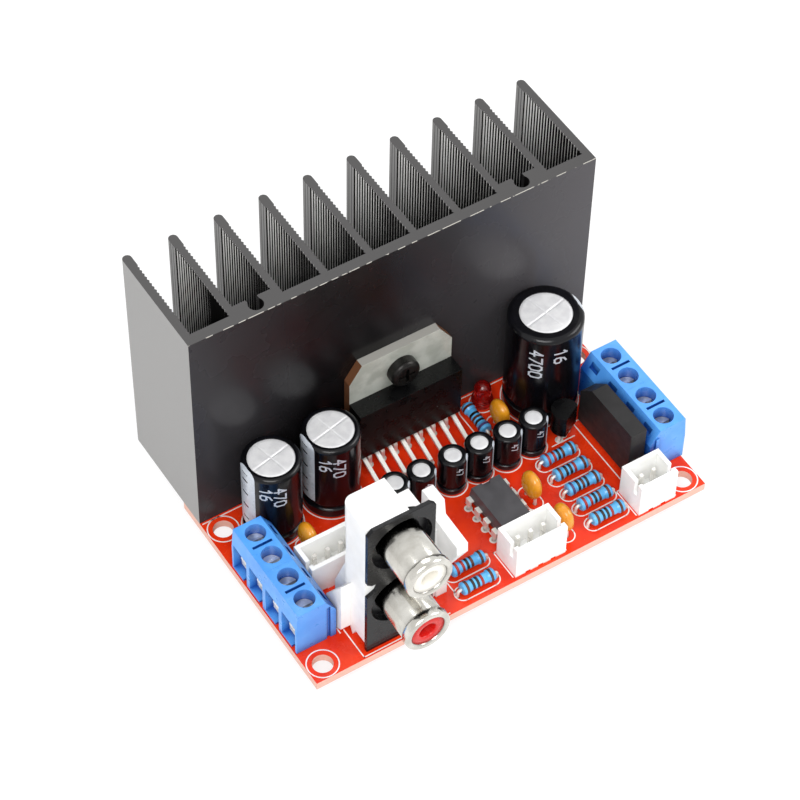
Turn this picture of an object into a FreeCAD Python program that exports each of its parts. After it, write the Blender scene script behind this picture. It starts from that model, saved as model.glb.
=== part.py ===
"""Audio amplifier board: circuit board, finned heatsink, power chip, capacitors and connectors.

Every sub-part is drawn from the front left corner of the board: X runs right along the front edge,
Y runs back to the heatsink and Z runs up from the component side. Each sub-part's placement then
moves it to the part's own frame, whose origin is the centre of the four mounting holes on the
underside of the board.
"""
import FreeCAD, Part
import math
import os
import re
import Sketcher

Vector = FreeCAD.Vector
Rotation = FreeCAD.Rotation
ALONG = {"x": Vector(1, 0, 0), "y": Vector(0, 1, 0), "z": Vector(0, 0, 1)}

document = FreeCAD.newDocument("amplifier_board")
sheet = document.addObject("Spreadsheet::Sheet", "Sizes")

SIZES = (
    ("board_length", 76.3, "board along X, and the heatsink with it"),
    ("board_depth", 42.6, "board along Y"),
    ("board_thickness", 1.6, "laminate"),
    ("hole_inset", 2.8, "mounting hole centres from the front and side edges"),
    ("hole_spacing_y", 31.5, "mounting holes from front to back"),
    ("mount_hole_radius", 1.75, "mounting holes"),
    ("drill_clearance", 0.1, "drilled hole round a lead, on the radius"),
    ("fit_clearance", 0.05, "between pieces that push together"),
    ("solder_width", 1.0, "solder cone radius at the board"),
    ("solder_height", 1.2, "solder cone"),
    ("tip_length", 0.6, "trimmed lead end below the solder cone"),
    ("tip_radius", 0.35, "trimmed lead end"),
    ("sink_front", 37.3, "front face of the heatsink"),
    ("sink_depth", 21.5, "heatsink along Y"),
    ("sink_height", 45.5, "heatsink along Z"),
    ("sink_base", 2.0, "base plate"),
    ("fin_count", 10, "fins"),
    ("fin_width", 1.6, "fin over its ribs and at its rounded tip"),
    ("fin_smooth", 3.0, "fin without ribs next to its tip"),
    ("rib_pitch", 0.8, "ribs on the sides of the fins"),
    ("rib_depth", 0.25, "ribs on the sides of the fins"),
    ("boss_depth", 3.5, "thick base between two fins, round a screw channel"),
    ("channel_radius", 1.3, "screw channel"),
    ("channel_slot", 2.1, "mouth of the screw channel"),
    ("channel_back", 2.0, "screw channel centre from the front face"),
    ("sink_screw_head", 2.75, "board screw head radius"),
    ("chip_x", 38.15, "middle of the power chip"),
    ("chip_width", 20.0, "moulding along X"),
    ("chip_depth", 5.0, "moulding and tab along Y"),
    ("chip_bottom", 3.6, "underside of the moulding"),
    ("chip_top", 14.7, "top of the moulding"),
    ("tab_thickness", 1.6, "metal tab"),
    ("tab_top", 23.1, "top of the tab"),
    ("tab_foot", 1.0, "moulding under the tab"),
    ("tab_cut_x", 2.4, "clipped corner along X"),
    ("tab_cut_z", 3.6, "clipped corner along Z"),
    ("tab_hole_radius", 1.8, "screw hole in the tab"),
    ("chip_screw_z", 18.0, "screw through the tab"),
    ("chip_screw_radius", 1.5, "screw through the tab"),
    ("chip_screw_head", 2.75, "head radius"),
    ("chip_screw_rise", 2.1, "head height"),
    ("chip_screw_length", 6.0, "thread beyond the tab's front face"),
    ("chip_cross_depth", 1.1, "cross in the head"),
    ("cross_reach", 1.5, "arms of a screw's cross from its middle"),
    ("cross_half", 0.3, "half of an arm's width"),
    ("sink_cross_depth", 1.0, "cross in the heads under the board"),
    ("sink_screw_top", 9.0, "end of the screws in the heatsink"),
    ("chip_lead_pitch", 2.54, "leads in one row"),
    ("chip_lead_count", 8, "leads in the front row, one fewer in the back row"),
    ("chip_row_front", 28.0, "front row of leads"),
    ("chip_row_gap", 5.08, "between the two rows"),
    ("chip_lead_inset", 3.6, "where the leads leave the moulding, from the front of the heatsink"),
    ("chip_lead_width", 0.7, "lead along X"),
    ("chip_lead_gauge", 0.5, "lead sheet"),
    ("chip_lead_stub", 0.6, "straight end of a lead below the moulding"),
    ("chip_lead_foot", 0.9, "bend of the front leads above the board"),
    ("chip_lead_drop", 1.6, "bend of the back leads below the moulding"),
    ("chip_lead_drill", 0.1, "room round a lead, across its corners"),
    ("sleeve_gauge", 0.15, "capacitor sleeve"),
    ("can_shoulder", 0.12, "rounded top edge of a can, as a share of its radius"),
    ("bung_gap", 0.35, "between a bung and the sleeve"),
    ("standoff", 0.3, "capacitors above the board"),
    ("big_can_x", 63.2, "supply capacitor"),
    ("big_can_y", 30.3, "supply capacitor"),
    ("big_can_radius", 6.5, "supply capacitor"),
    ("big_can_height", 22.0, "supply capacitor"),
    ("big_can_lip", 2.0, "sleeve over the top of the can"),
    ("big_can_groove", 3.0, "rolled groove above the board"),
    ("big_can_groove_depth", 0.55, "rolled groove"),
    ("big_can_groove_half", 0.8, "half of the rolled groove's height"),
    ("big_can_bung", 1.6, "rubber bung, height"),
    ("mid_can_x", 10.45, "left output capacitor"),
    ("mid_can_gap", 11.25, "output capacitors apart"),
    ("mid_can_y", 31.1, "output capacitors"),
    ("mid_can_radius", 5.0, "output capacitors"),
    ("mid_can_height", 17.5, "output capacitors"),
    ("mid_can_lip", 1.05, "sleeve over the top of the can"),
    ("mid_can_groove", 2.6, "rolled groove above the board"),
    ("mid_can_groove_depth", 0.5, "rolled groove"),
    ("mid_can_groove_half", 0.7, "half of the rolled groove's height"),
    ("mid_can_bung", 1.4, "rubber bung, height"),
    ("small_can_radius", 2.5, "small capacitors"),
    ("small_can_height", 8.0, "small capacitors"),
    ("small_can_lip", 0.55, "sleeve over the top of the can"),
    ("small_can_groove", 1.7, "rolled groove above the board"),
    ("small_can_groove_depth", 0.3, "rolled groove"),
    ("small_can_groove_half", 0.5, "half of the rolled groove's height"),
    ("small_can_bung", 0.8, "rubber bung, height"),
    ("large_lead_pitch", 5.0, "leads of the large capacitors"),
    ("small_lead_pitch", 2.0, "leads of the small capacitors"),
    ("wire_radius", 0.28, "round leads"),
    ("ceramic_width", 4.6, "ceramic capacitor along Y"),
    ("ceramic_thickness", 2.5, "ceramic capacitor along X"),
    ("ceramic_bottom", 1.4, "ceramic capacitor body above the board"),
    ("ceramic_top", 6.4, "ceramic capacitor"),
    ("ceramic_pitch", 2.54, "ceramic capacitor leads"),
    ("ceramic_round", 1.1, "rounding of the dipped body"),
    ("ceramic_skirt", 0.8, "coat that runs down a lead, half of its height"),
    ("skirt_wall", 0.1, "coat at its lower end, on the wire"),
    ("resistor_length", 6.3, "resistor body"),
    ("resistor_radius", 1.15, "resistor ends"),
    ("resistor_waist", 0.95, "resistor middle"),
    ("resistor_cap", 1.5, "length of each thick end"),
    ("resistor_round", 0.35, "rounding of each end"),
    ("resistor_slope", 0.4, "slope from a thick end to the middle"),
    ("resistor_bend", 0.6, "bend of a lead, on its centre line"),
    ("resistor_rise", 1.3, "resistor axis above the board"),
    ("resistor_pitch", 7.62, "resistor lead holes"),
    ("resistor_row_x", 58.2, "right group of resistors"),
    ("resistor_row_y", 2.95, "front one of the right group"),
    ("resistor_row_gap", 3.6, "between resistors of the right group"),
    ("resistor_row_count", 5, "resistors of the right group"),
    ("rectifier_x", 65.5, "left face of the rectifier"),
    ("rectifier_y", 7.6, "front face of the rectifier"),
    ("rectifier_length", 14.5, "rectifier along Y"),
    ("rectifier_depth", 3.1, "rectifier along X"),
    ("rectifier_bottom", 1.0, "rectifier above the board"),
    ("rectifier_top", 11.5, "rectifier"),
    ("rectifier_cut", 3.0, "clipped corner"),
    ("rectifier_pitch", 3.8, "rectifier leads"),
    ("rectifier_lead_x", 0.6, "rectifier lead along X"),
    ("rectifier_lead_y", 0.8, "rectifier lead along Y"),
    ("rectifier_drill", 0.1, "room round a rectifier lead, across its corners"),
    ("regulator_x", 61.8, "regulator"),
    ("regulator_y", 21.2, "regulator"),
    ("regulator_radius", 2.35, "regulator"),
    ("regulator_flat", 1.4, "flat face from the axis"),
    ("regulator_bottom", 2.4, "regulator above the board"),
    ("regulator_top", 7.0, "regulator"),
    ("regulator_pitch", 1.27, "regulator leads"),
    ("regulator_turn", 28.0, "degrees about Z"),
    ("flat_lead", 0.44, "square leads of the regulator and of the lamp"),
    ("flat_lead_drill", 0.1, "room round a square lead, across its corners"),
    ("lamp_x", 54.0, "indicator"),
    ("lamp_y", 34.3, "indicator"),
    ("lamp_radius", 1.5, "indicator lens"),
    ("lamp_flange", 1.9, "indicator flange radius"),
    ("lamp_bottom", 0.4, "indicator above the board"),
    ("lamp_flange_top", 1.4, "indicator flange"),
    ("lamp_shoulder", 3.9, "start of the dome"),
    ("lamp_pitch", 2.54, "indicator leads"),
    ("small_chip_x", 43.4, "preamplifier chip"),
    ("small_chip_y", 12.7, "preamplifier chip"),
    ("small_chip_length", 9.4, "moulding along Y"),
    ("small_chip_width", 6.35, "moulding along X at its parting line"),
    ("small_chip_draft", 0.4, "moulding narrower at its top and bottom"),
    ("small_chip_bottom", 0.5, "moulding above the board"),
    ("small_chip_top", 3.9, "moulding"),
    ("small_chip_notch", 0.8, "round notch at the end of the first pin, radius"),
    ("small_chip_notch_depth", 0.5, "round notch"),
    ("small_chip_pitch", 2.54, "pins"),
    ("small_chip_rows", 7.62, "rows of pins"),
    ("small_pin_gauge", 0.25, "pin sheet"),
    ("small_pin_shoulder", 1.3, "wide part of a pin"),
    ("small_pin_width", 0.5, "narrow part of a pin"),
    ("small_pin_knee", 0.9, "where a pin narrows, above the board"),
    ("header_depth", 5.75, "pin headers along Y"),
    ("header_height", 7.0, "pin headers"),
    ("header_wall", 0.75, "pin header walls"),
    ("header_floor", 1.2, "pin header floor"),
    ("header_pitch", 2.5, "header pins"),
    ("header_margin", 2.45, "from the end of a header to its first pin"),
    ("header_pin", 0.64, "square header pins"),
    ("header_pin_top", 5.6, "header pins above the board"),
    ("header_pin_back", 3.4, "header pins from the front wall's face"),
    ("header_key", 0.9, "slot in each short wall"),
    ("header_key_front", 1.1, "slot from the front wall's face"),
    ("header_key_depth", 3.0, "slot from the top"),
    ("header_gap", 1.0, "gap under the front wall at each pin"),
    ("header_gap_height", 0.3, "gap under the front wall"),
    ("square_drill", 0.72, "drilled radius for a square pin, as a share of the pin"),
    ("left_header_x", 8.25, "header behind the phono sockets"),
    ("left_header_y", 14.9, "header behind the phono sockets"),
    ("front_header_x", 38.4, "header on the front edge"),
    ("front_header_y", 0.6, "header on the front edge"),
    ("right_header_x", 62.9, "two-pin header"),
    ("right_header_y", 0.35, "two-pin header"),
    ("pole_pitch", 5.08, "terminal poles"),
    ("block_depth", 7.4, "terminal block along X"),
    ("block_height", 10.0, "terminal block"),
    ("block_lean", 0.35, "entry face leans in above its knee"),
    ("block_knee", 5.7, "knee of the entry face"),
    ("block_bevel_x", 1.9, "sloping back edge"),
    ("block_bevel_z", 3.0, "sloping back edge"),
    ("chamber_width", 4.1, "inside of one pole"),
    ("chamber_depth", 5.9, "inside of one pole"),
    ("chamber_floor", 0.5, "floor of the terminal block"),
    ("chamber_top", 6.3, "inside of one pole"),
    ("screw_depth", 3.1, "terminal screw from the entry face"),
    ("screw_hole_radius", 1.75, "access hole"),
    ("screw_head_radius", 1.68, "terminal screw head"),
    ("screw_head_top", 7.6, "terminal screw head"),
    ("screw_slot", 0.5, "driver slot width"),
    ("screw_slot_depth", 0.6, "driver slot"),
    ("screw_shank_radius", 1.25, "terminal screw thread"),
    ("cage_wall", 0.5, "side walls of the rising cage"),
    ("cage_bottom", 0.4, "lower plate of the rising cage"),
    ("cage_roof", 0.8, "threaded plate of the rising cage"),
    ("cage_depth", 3.4, "rising cage along X"),
    ("cage_side_gap", 0.1, "rising cage beside the chamber wall"),
    ("cage_lift", 0.1, "rising cage above the floor when open"),
    ("bar_bottom", 3.1, "contact bar"),
    ("bar_gauge", 0.5, "contact bar"),
    ("bar_width", 2.4, "contact bar"),
    ("bar_front", 0.9, "contact bar from the entry face"),
    ("pin_back", 5.7, "back face of the solder pin from the entry face"),
    ("pin_gauge", 0.7, "solder pin"),
    ("pin_width", 1.0, "solder pin"),
    ("left_block_x", 0.25, "entry faces on the left"),
    ("right_block_overhang", 0.3, "entry faces past the right edge of the board"),
    ("left_block_y", 11.65, "front left block, middle"),
    ("right_block_y", 12.08, "front right block, middle"),
    ("rail_width", 0.6, "joining rib on a block's side"),
    ("rail_height", 0.3, "joining rib on a block's side"),
    ("rail_back", 5.7, "joining rib from the entry face"),
    ("rail_top_gap", 1.6, "joining rib below the top"),
    ("slit_front", 1.1, "slit between the poles from the entry face"),
    ("slit_back", 4.7, "far end of the slit"),
    ("slit_width", 0.5, "slit between the poles"),
    ("slit_depth", 0.8, "slit between the poles"),
    ("notch_depth", 1.4, "notch in the floor at the entry"),
    ("notch_width", 1.1, "notch in the floor at the entry"),
    ("probe_gap", 0.5, "test slot behind the start of the sloping edge"),
    ("probe_gauge", 0.7, "test slot along X"),
    ("probe_width", 2.2, "test slot along Y"),
    ("probe_depth", 2.4, "test slot below the top"),
    ("jack_left", 9.9, "left face of the phono housing"),
    ("jack_width", 12.4, "front plate along X"),
    ("jack_front", 0.9, "front plate"),
    ("jack_plate", 0.7, "front plate"),
    ("jack_top", 31.8, "top of the phono housing"),
    ("jack_foot", 0.2, "underside of the front plate"),
    ("jack_underside", 2.0, "underside of the housing"),
    ("jack_back", 8.8, "back of the housing"),
    ("jack_round", 1.8, "rounded back corner of the tall part"),
    ("tower_right", 17.8, "right end of the tall part"),
    ("jack_step", 26.0, "top of the lower part"),
    ("jack_axis_x", 16.2, "phono sockets"),
    ("jack_axis_z", 11.1, "lower phono socket"),
    ("jack_axis_gap", 14.0, "between the phono sockets"),
    ("shell_radius", 3.95, "phono socket outside"),
    ("shell_wall", 0.3, "phono socket wall"),
    ("shell_front", -7.4, "end of the phono sockets"),
    ("shell_rim", 0.2, "rolled end of a phono socket, over its outside"),
    ("rim_length", 1.1, "rolled end of a phono socket"),
    ("well_radius", 5.5, "sunk ring round a phono socket"),
    ("well_floor", 2.2, "bottom of the sunk ring"),
    ("spigot_radius", 5.9, "back of the front plate round a socket"),
    ("spigot_back", 2.9, "back of the front plate round a socket"),
    ("insert_bore", 1.65, "hole for the plug's pin"),
    ("insert_mouth", 2.6, "flared mouth of that hole"),
    ("bore_depth", 8.0, "hole for the plug's pin"),
    ("cheek_left", 25.2, "right cheek of the housing"),
    ("cheek_right", 27.3, "right cheek of the housing"),
    ("wing_left", 8.0, "left wing of the housing"),
)

# Centres on the board, as (X, Y), of the small electrolytics and of the ceramics.
SMALL_CAN_PLACES = [("28.75", "22.5"), ("33.9", "22.4"), ("40.0", "22.3"), ("45.2", "22.2"),
                    ("50.6", "21.8"), ("55.85", "21.9")]
CERAMIC_PLACES = [("53.6", "28.4"), ("49.6", "12.8"), ("50.3", "4.5"), ("12.5", "23.3")]

# Resistors outside the right group: X, Y and degrees about Z.
LOOSE_RESISTORS = [("32.7", "6.4", "0"), ("32.15", "2.5", "0"), ("50.75", "31.1", "90")]
for row, (alias, value, note) in enumerate(SIZES, 1):
    sheet.set(f"A{row}", alias)
    sheet.set(f"B{row}", str(value))
    sheet.set(f"C{row}", note)
    sheet.setAlias(f"B{row}", alias)
document.recompute()


def size(alias):
    """Number in the sheet under this alias."""
    return float(getattr(sheet, alias))


def formula(text):
    """Expression on the sheet's cells; every alias in the text is a word with a low line or a cell."""
    names = {alias for alias, value, note in SIZES}
    return re.sub(r"[a-z_]+", lambda word: f"Sizes.{word[0]}" if word[0] in names else word[0], str(text))


def value_of(text):
    """Worked-out number of a formula."""
    return sheet.evalExpression(re.sub(r"Sizes\.", "", formula(text)))


def bind(item, **formulas):
    """Tie properties to formulas; a double low line stands for a dot."""
    for name, text in formulas.items():
        item.setExpression(name.replace("__", "."), formula(text))
    return item


def move(item, x="0", y="0", z="0", turn=None):
    """Place an item at formulas for X, Y and Z, turned about Z by a formula in degrees."""
    if turn is not None:
        item.Placement = FreeCAD.Placement(Vector(), Rotation(ALONG["z"], 1.0))
        bind(item, Placement__Rotation__Angle=turn)
    return bind(item, Placement__Base__x=x, Placement__Base__y=y, Placement__Base__z=z)


def box(name, x, y, z):
    """Block between a low and a high formula on each axis."""
    item = document.addObject("Part::Box", name)
    bind(item, Length=f"({x[1]}) - ({x[0]})", Width=f"({y[1]}) - ({y[0]})", Height=f"({z[1]}) - ({z[0]})")
    return move(item, x[0], y[0], z[0])


def cylinder(name, radius, x, y, z):
    """Cylinder along the axis whose formula is a (low, high) pair."""
    item = document.addObject("Part::Cylinder", name)
    places = {"x": x, "y": y, "z": z}
    axis = next(key for key, place in places.items() if isinstance(place, tuple))
    low, high = places[axis]
    item.Placement = FreeCAD.Placement(Vector(), Rotation(ALONG["z"], ALONG[axis]))
    places[axis] = low
    bind(item, Radius=radius, Height=f"({high}) - ({low})")
    return bind(item, **{f"Placement__Base__{key}": place for key, place in places.items()})


def cone(name, bottom, top, x, y, z):
    """Upright cone from the low formula in z, with its bottom radius, to the high one."""
    item = document.addObject("Part::Cone", name)
    bind(item, Radius1=bottom, Radius2=top, Height=f"({z[1]}) - ({z[0]})")
    return move(item, x, y, z[0])


def group(name, members):
    """Separate solids kept together."""
    item = document.addObject("Part::Compound", name)
    item.Links = members
    return item


def fuse(name, members):
    """One solid from pieces that meet."""
    item = document.addObject("Part::MultiFuse", name)
    item.Shapes = members
    item.Refine = True
    return item


def cut(name, base, tools):
    """Base with each tool taken away."""
    item = document.addObject("Part::Cut", name)
    item.Base = base
    item.Tool = tools[0] if len(tools) == 1 else group(f"{name}_tools", tools)
    return item


def copy(name, form, x, y, z="0", turn="0"):
    """The same form at another place."""
    return move(group(name, [form]), x, y, z, turn)


def rounded(name, item, radius, chosen):
    """Item with the edges that pass the test rounded."""
    document.recompute()
    item_edges = enumerate(item.Shape.Edges, 1)
    fillet = document.addObject("Part::Fillet", name)
    fillet.Base = item
    fillet.Edges = [(number, radius, radius) for number, edge in item_edges if chosen(edge)]
    return fillet


def plane_of(body, role):
    """Origin plane of a body, by its role."""
    return next(plane for plane in body.Origin.OriginFeatures if plane.Role == role)


def outline(body, role, points, offset="0"):
    """Closed sketch through points given as pairs of formulas, each held by two dimensions."""
    sketch = body.newObject("Sketcher::SketchObject", f"{body.Name}_outline")
    sketch.AttachmentSupport = (plane_of(body, role), [""])
    sketch.MapMode = "FlatFace"
    bind(sketch, AttachmentOffset__Base__z=offset)
    corners = [Vector(value_of(a), value_of(b), 0) for a, b in points]
    for start, end in zip(corners, corners[1:] + corners[:1]):
        sketch.addGeometry(Part.LineSegment(start, end))
    for line in range(len(points)):
        sketch.addConstraint(Sketcher.Constraint("Coincident", line, 2, (line + 1) % len(points), 1))
    for line, (corner, pair) in enumerate(zip(corners, points)):
        for kind, number, text in zip(("DistanceX", "DistanceY"), corner, pair):
            if text == "0":
                axis = -2 if kind == "DistanceX" else -1
                sketch.addConstraint(Sketcher.Constraint("PointOnObject", line, 1, axis))
                continue
            index = sketch.addConstraint(Sketcher.Constraint(kind, -1, 1, line, 1, number))
            sketch.setExpression(f"Constraints[{index}]", formula(text))
    return sketch


def slab(name, role, points, low, high):
    """Body padded from a sketch in one origin plane, between two formulas on that plane's normal."""
    body = document.addObject("PartDesign::Body", name)
    turned_back = role == "XZ_Plane"
    sketch = outline(body, role, points, f"-({high})" if turned_back else low)
    pad = body.newObject("PartDesign::Pad", f"{name}_pad")
    pad.Profile = sketch
    bind(pad, Length=f"({high}) - ({low})")
    return body


def rectangle(x, y):
    """Corner formulas of a rectangle."""
    return [(x[0], y[0]), (x[1], y[0]), (x[1], y[1]), (x[0], y[1])]


def shaped(name, shape):
    """Document object for a shape that was worked out from the sheet's sizes."""
    item = document.addObject("Part::Feature", name)
    item.Shape = shape
    return item


def turned(points):
    """Solid of revolution about Z; a point of three numbers is a radius and height on an arc's middle."""
    edges = []
    start = Vector(points[0][0], 0, points[0][1])
    loop = list(points[1:]) + [points[0]]
    middle = None
    for point in loop:
        place = Vector(point[0], 0, point[1])
        if len(point) == 3:
            middle = place
            continue
        curve = Part.Arc(start, middle, place) if middle else Part.LineSegment(start, place)
        edges.append(curve.toShape())
        start = place
        middle = None
    return Part.Face(Part.Wire(edges)).revolve(Vector(), ALONG["z"], 360)


def bent_strip(points, gauge, width):
    """Strip along points (across, z), centred on y = 0, with mitred bends."""
    left, right = [], []
    directions = [(Vector(*end) - Vector(*start)).normalize() for start, end in zip(points, points[1:])]
    for number, point in enumerate(points):
        before = directions[max(number - 1, 0)]
        after = directions[min(number, len(directions) - 1)]
        middle = (before + after).normalize()
        reach = gauge / 2 / middle.dot(after)
        normal = Vector(-middle.y, middle.x, 0) * reach
        left.append(Vector(*point) + normal)
        right.append(Vector(*point) - normal)
    loop = [Vector(corner.x, -width / 2, corner.y) for corner in left + right[::-1]]
    face = Part.Face(Part.makePolygon(loop + loop[:1]))
    return face.extrude(Vector(0, width, 0))


finished = []
drilled = []


def finish(item, label, x="0", y="0", z="0", turn=None):
    """Name a sub-part and put it in the part's own frame."""
    item.Label = label
    move(item, f"({x}) - board_length / 2", f"({y}) - hole_inset - hole_spacing_y / 2",
         f"({z}) + board_thickness", turn)
    finished.append(item)
    return item


def drill(x, y, radius):
    """Note a lead that goes through the board at formulas for X, Y and its radius."""
    drilled.append((x, y, radius))


def electrolytic(radius, height, lip, groove_height, groove_depth, groove_half, bung_height):
    """Can, sleeve and bung of one capacitor, all about Z."""
    gauge = size("sleeve_gauge")
    bottom = size("standoff")
    inner = radius - gauge
    shoulder = size("can_shoulder") * radius
    top = height
    diagonal = 1 - math.sqrt(0.5)
    bung = inner - size("bung_gap")
    wall_top = top - gauge - shoulder
    outer_bend = shoulder + gauge
    can = turned([
        (0, bottom + bung_height), (bung, bottom + bung_height), (bung, bottom), (inner, bottom),
        (inner, groove_height - groove_half), (inner - groove_depth, groove_height, "arc"),
        (inner, groove_height + groove_half), (inner, wall_top),
        (inner - diagonal * shoulder, wall_top + (1 - diagonal) * shoulder, "arc"),
        (inner - shoulder, top - gauge), (0, top - gauge)])
    sleeve = turned([
        (inner, bottom), (radius, bottom), (radius, groove_height - groove_half),
        (radius - groove_depth, groove_height, "arc"), (radius, groove_height + groove_half),
        (radius, wall_top), (radius - diagonal * outer_bend, wall_top + (1 - diagonal) * outer_bend, "arc"),
        (inner - shoulder, top), (radius - lip, top), (radius - lip, top - gauge),
        (inner - shoulder, top - gauge),
        (inner - diagonal * shoulder, wall_top + (1 - diagonal) * shoulder, "arc"),
        (inner, wall_top), (inner, groove_height + groove_half),
        (inner - groove_depth, groove_height, "arc"), (inner, groove_height - groove_half)])
    rubber = turned([(0, bottom), (bung, bottom), (bung, bottom + bung_height), (0, bottom + bung_height)])
    return can, sleeve, rubber


def build_electrolytics():
    """One supply, two output and six small electrolytic capacitors."""
    families = (
        ("supply_capacitor", "big_can", "large_lead_pitch", [("big_can_x", "big_can_y")]),
        ("output_capacitor", "mid_can", "large_lead_pitch",
         [("mid_can_x", "mid_can_y"), ("mid_can_x + mid_can_gap", "mid_can_y")]),
        ("small_capacitor", "small_can", "small_lead_pitch", SMALL_CAN_PLACES),
    )
    bungs = []
    leads = []
    parts = ("radius", "height", "lip", "groove", "groove_depth", "groove_half", "bung")
    for name, prefix, pitch, places in families:
        shapes = electrolytic(*[size(f"{prefix}_{part}") for part in parts])
        kinds = zip(("can", "sleeve", "bung"), shapes)
        forms = [shaped(f"{name}_{kind}_form", shape) for kind, shape in kinds]
        for kind, form in zip(("can", "sleeve"), forms):
            copies = [copy(f"{name}_{kind}_copy", form, x, y) for x, y in places]
            finish(group(f"{name}_{kind}", copies), f"{name}_{kind}" + "s" * (len(places) > 1))
        bungs += [copy(f"{name}_bung_copy", forms[2], x, y) for x, y in places]
        for x, y in places:
            for side in ("-", "+"):
                lead_x = f"{x} {side} {pitch} / 2"
                leads.append(cylinder(f"{name}_lead", "wire_radius", lead_x, y,
                                      ("-board_thickness", "standoff")))
                drill(lead_x, y, "wire_radius")
    finish(group("bungs", bungs), "capacitor_bungs")
    finish(group("capacitor_wires", leads), "capacitor_leads")


def build_ceramics():
    """Four dipped ceramic capacitors that stand across the board."""
    depth = ("-ceramic_thickness / 2", "ceramic_thickness / 2")
    block = box("ceramic_block", depth, ("-ceramic_width / 2", "ceramic_width / 2"),
                ("ceramic_bottom", "ceramic_top"))
    pillow = rounded("ceramic_pillow", block, size("ceramic_round"), lambda edge: True)
    skirts = []
    wires = []
    for side in ("-", "+"):
        lead_y = f"{side}ceramic_pitch / 2"
        skirts.append(cone("ceramic_skirt_cone", "wire_radius + skirt_wall", "ceramic_round / 1.6", "0",
                           lead_y,
                           ("ceramic_bottom - ceramic_skirt", "ceramic_bottom + ceramic_skirt")))
        wires.append(cylinder("ceramic_wire", "wire_radius", "0", lead_y,
                              ("-board_thickness", "ceramic_bottom + 0.3")))
    form = cut("ceramic_form", fuse("ceramic_solid", [pillow] + skirts), wires)
    wire_form = group("ceramic_wires_form", wires)
    bodies = [copy("ceramic_copy", form, x, y) for x, y in CERAMIC_PLACES]
    finish(group("ceramics", bodies), "ceramic_capacitors")
    pairs = [copy("ceramic_wire_copy", wire_form, x, y) for x, y in CERAMIC_PLACES]
    finish(group("ceramic_wires", pairs), "ceramic_capacitor_leads")
    for x, y in CERAMIC_PLACES:
        for side in ("-", "+"):
            drill(x, f"{y} {side} ceramic_pitch / 2", "wire_radius")


def resistor_lead():
    """Wire from the right end of a resistor on the X axis, bent down through the board."""
    wire = size("wire_radius")
    rise = size("resistor_rise")
    start = size("resistor_length") / 2
    end = size("resistor_pitch") / 2
    bend = size("resistor_bend")
    turn = Vector(end - bend * (1 - math.sqrt(0.5)), 0, rise - bend * (1 - math.sqrt(0.5)))
    path = Part.Wire([
        Part.LineSegment(Vector(start, 0, rise), Vector(end - bend, 0, rise)).toShape(),
        Part.Arc(Vector(end - bend, 0, rise), turn, Vector(end, 0, rise - bend)).toShape(),
        Part.LineSegment(Vector(end, 0, rise - bend), Vector(end, 0, -size("board_thickness"))).toShape()])
    ring = Part.Wire([Part.makeCircle(wire, Vector(start, 0, rise), ALONG["x"])])
    return path.makePipeShell([ring], True, True)


def build_resistors():
    """Eight axial resistors with thick ends."""
    half = size("resistor_length") / 2
    end = size("resistor_radius")
    waist = size("resistor_waist")
    cap = size("resistor_cap")
    corner = size("resistor_round")
    slope = size("resistor_slope")
    body = turned([
        (0, -half), (end - corner, -half), (end - corner * 0.3, -half + corner * 0.3, "arc"),
        (end, -half + corner),
        (end, cap - half - slope), (waist, cap - half), (waist, half - cap), (end, half - cap + slope),
        (end, half - corner), (end - corner * 0.3, half - corner * 0.3, "arc"), (end - corner, half),
        (0, half)])
    body.rotate(Vector(), ALONG["y"], 90)
    body.translate(Vector(0, 0, size("resistor_rise")))
    lead = resistor_lead()
    other = lead.copy()
    other.rotate(Vector(), ALONG["z"], 180)
    body_form = shaped("resistor_form", body)
    lead_form = shaped("resistor_lead_form", Part.makeCompound([lead, other]))
    places = []
    for number in range(int(size("resistor_row_count"))):
        places.append(("resistor_row_x", f"resistor_row_y + {number} * resistor_row_gap", "0"))
    places += LOOSE_RESISTORS
    for form, label in ((body_form, "resistors"), (lead_form, "resistor_leads")):
        copies = [copy(f"{label}_copy", form, x, y, "0", turn) for x, y, turn in places]
        finish(group(f"{label}_set", copies), label)
    for x, y, turn in places:
        for side in ("-", "+"):
            reach = f"{side} resistor_pitch / 2"
            if turn == "0":
                drill(f"{x} {reach}", y, "wire_radius")
            else:
                drill(x, f"{y} {reach}", "wire_radius")


def build_rectifier():
    """Single-row bridge rectifier with one clipped corner and four leads."""
    back = "rectifier_y + rectifier_length"
    body = slab("rectifier", "YZ_Plane", [
        ("rectifier_y", "rectifier_bottom"), (back, "rectifier_bottom"),
        (back, "rectifier_top - rectifier_cut"),
        (f"{back} - rectifier_cut", "rectifier_top"), ("rectifier_y", "rectifier_top")],
        "rectifier_x", "rectifier_x + rectifier_depth")
    finish(body, "bridge_rectifier_body")
    leads = []
    middle = "rectifier_x + rectifier_depth / 2"
    for number in range(4):
        y = f"rectifier_y + rectifier_length / 2 + ({number} - 1.5) * rectifier_pitch"
        leads.append(box("rectifier_lead",
                         (f"{middle} - rectifier_lead_x / 2", f"{middle} + rectifier_lead_x / 2"),
                         (f"{y} - rectifier_lead_y / 2", f"{y} + rectifier_lead_y / 2"),
                         ("-board_thickness", "rectifier_bottom")))
        drill(middle, y, "rectifier_lead_y / 2 + rectifier_drill")
    finish(group("rectifier_leads", leads), "bridge_rectifier_leads")


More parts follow.
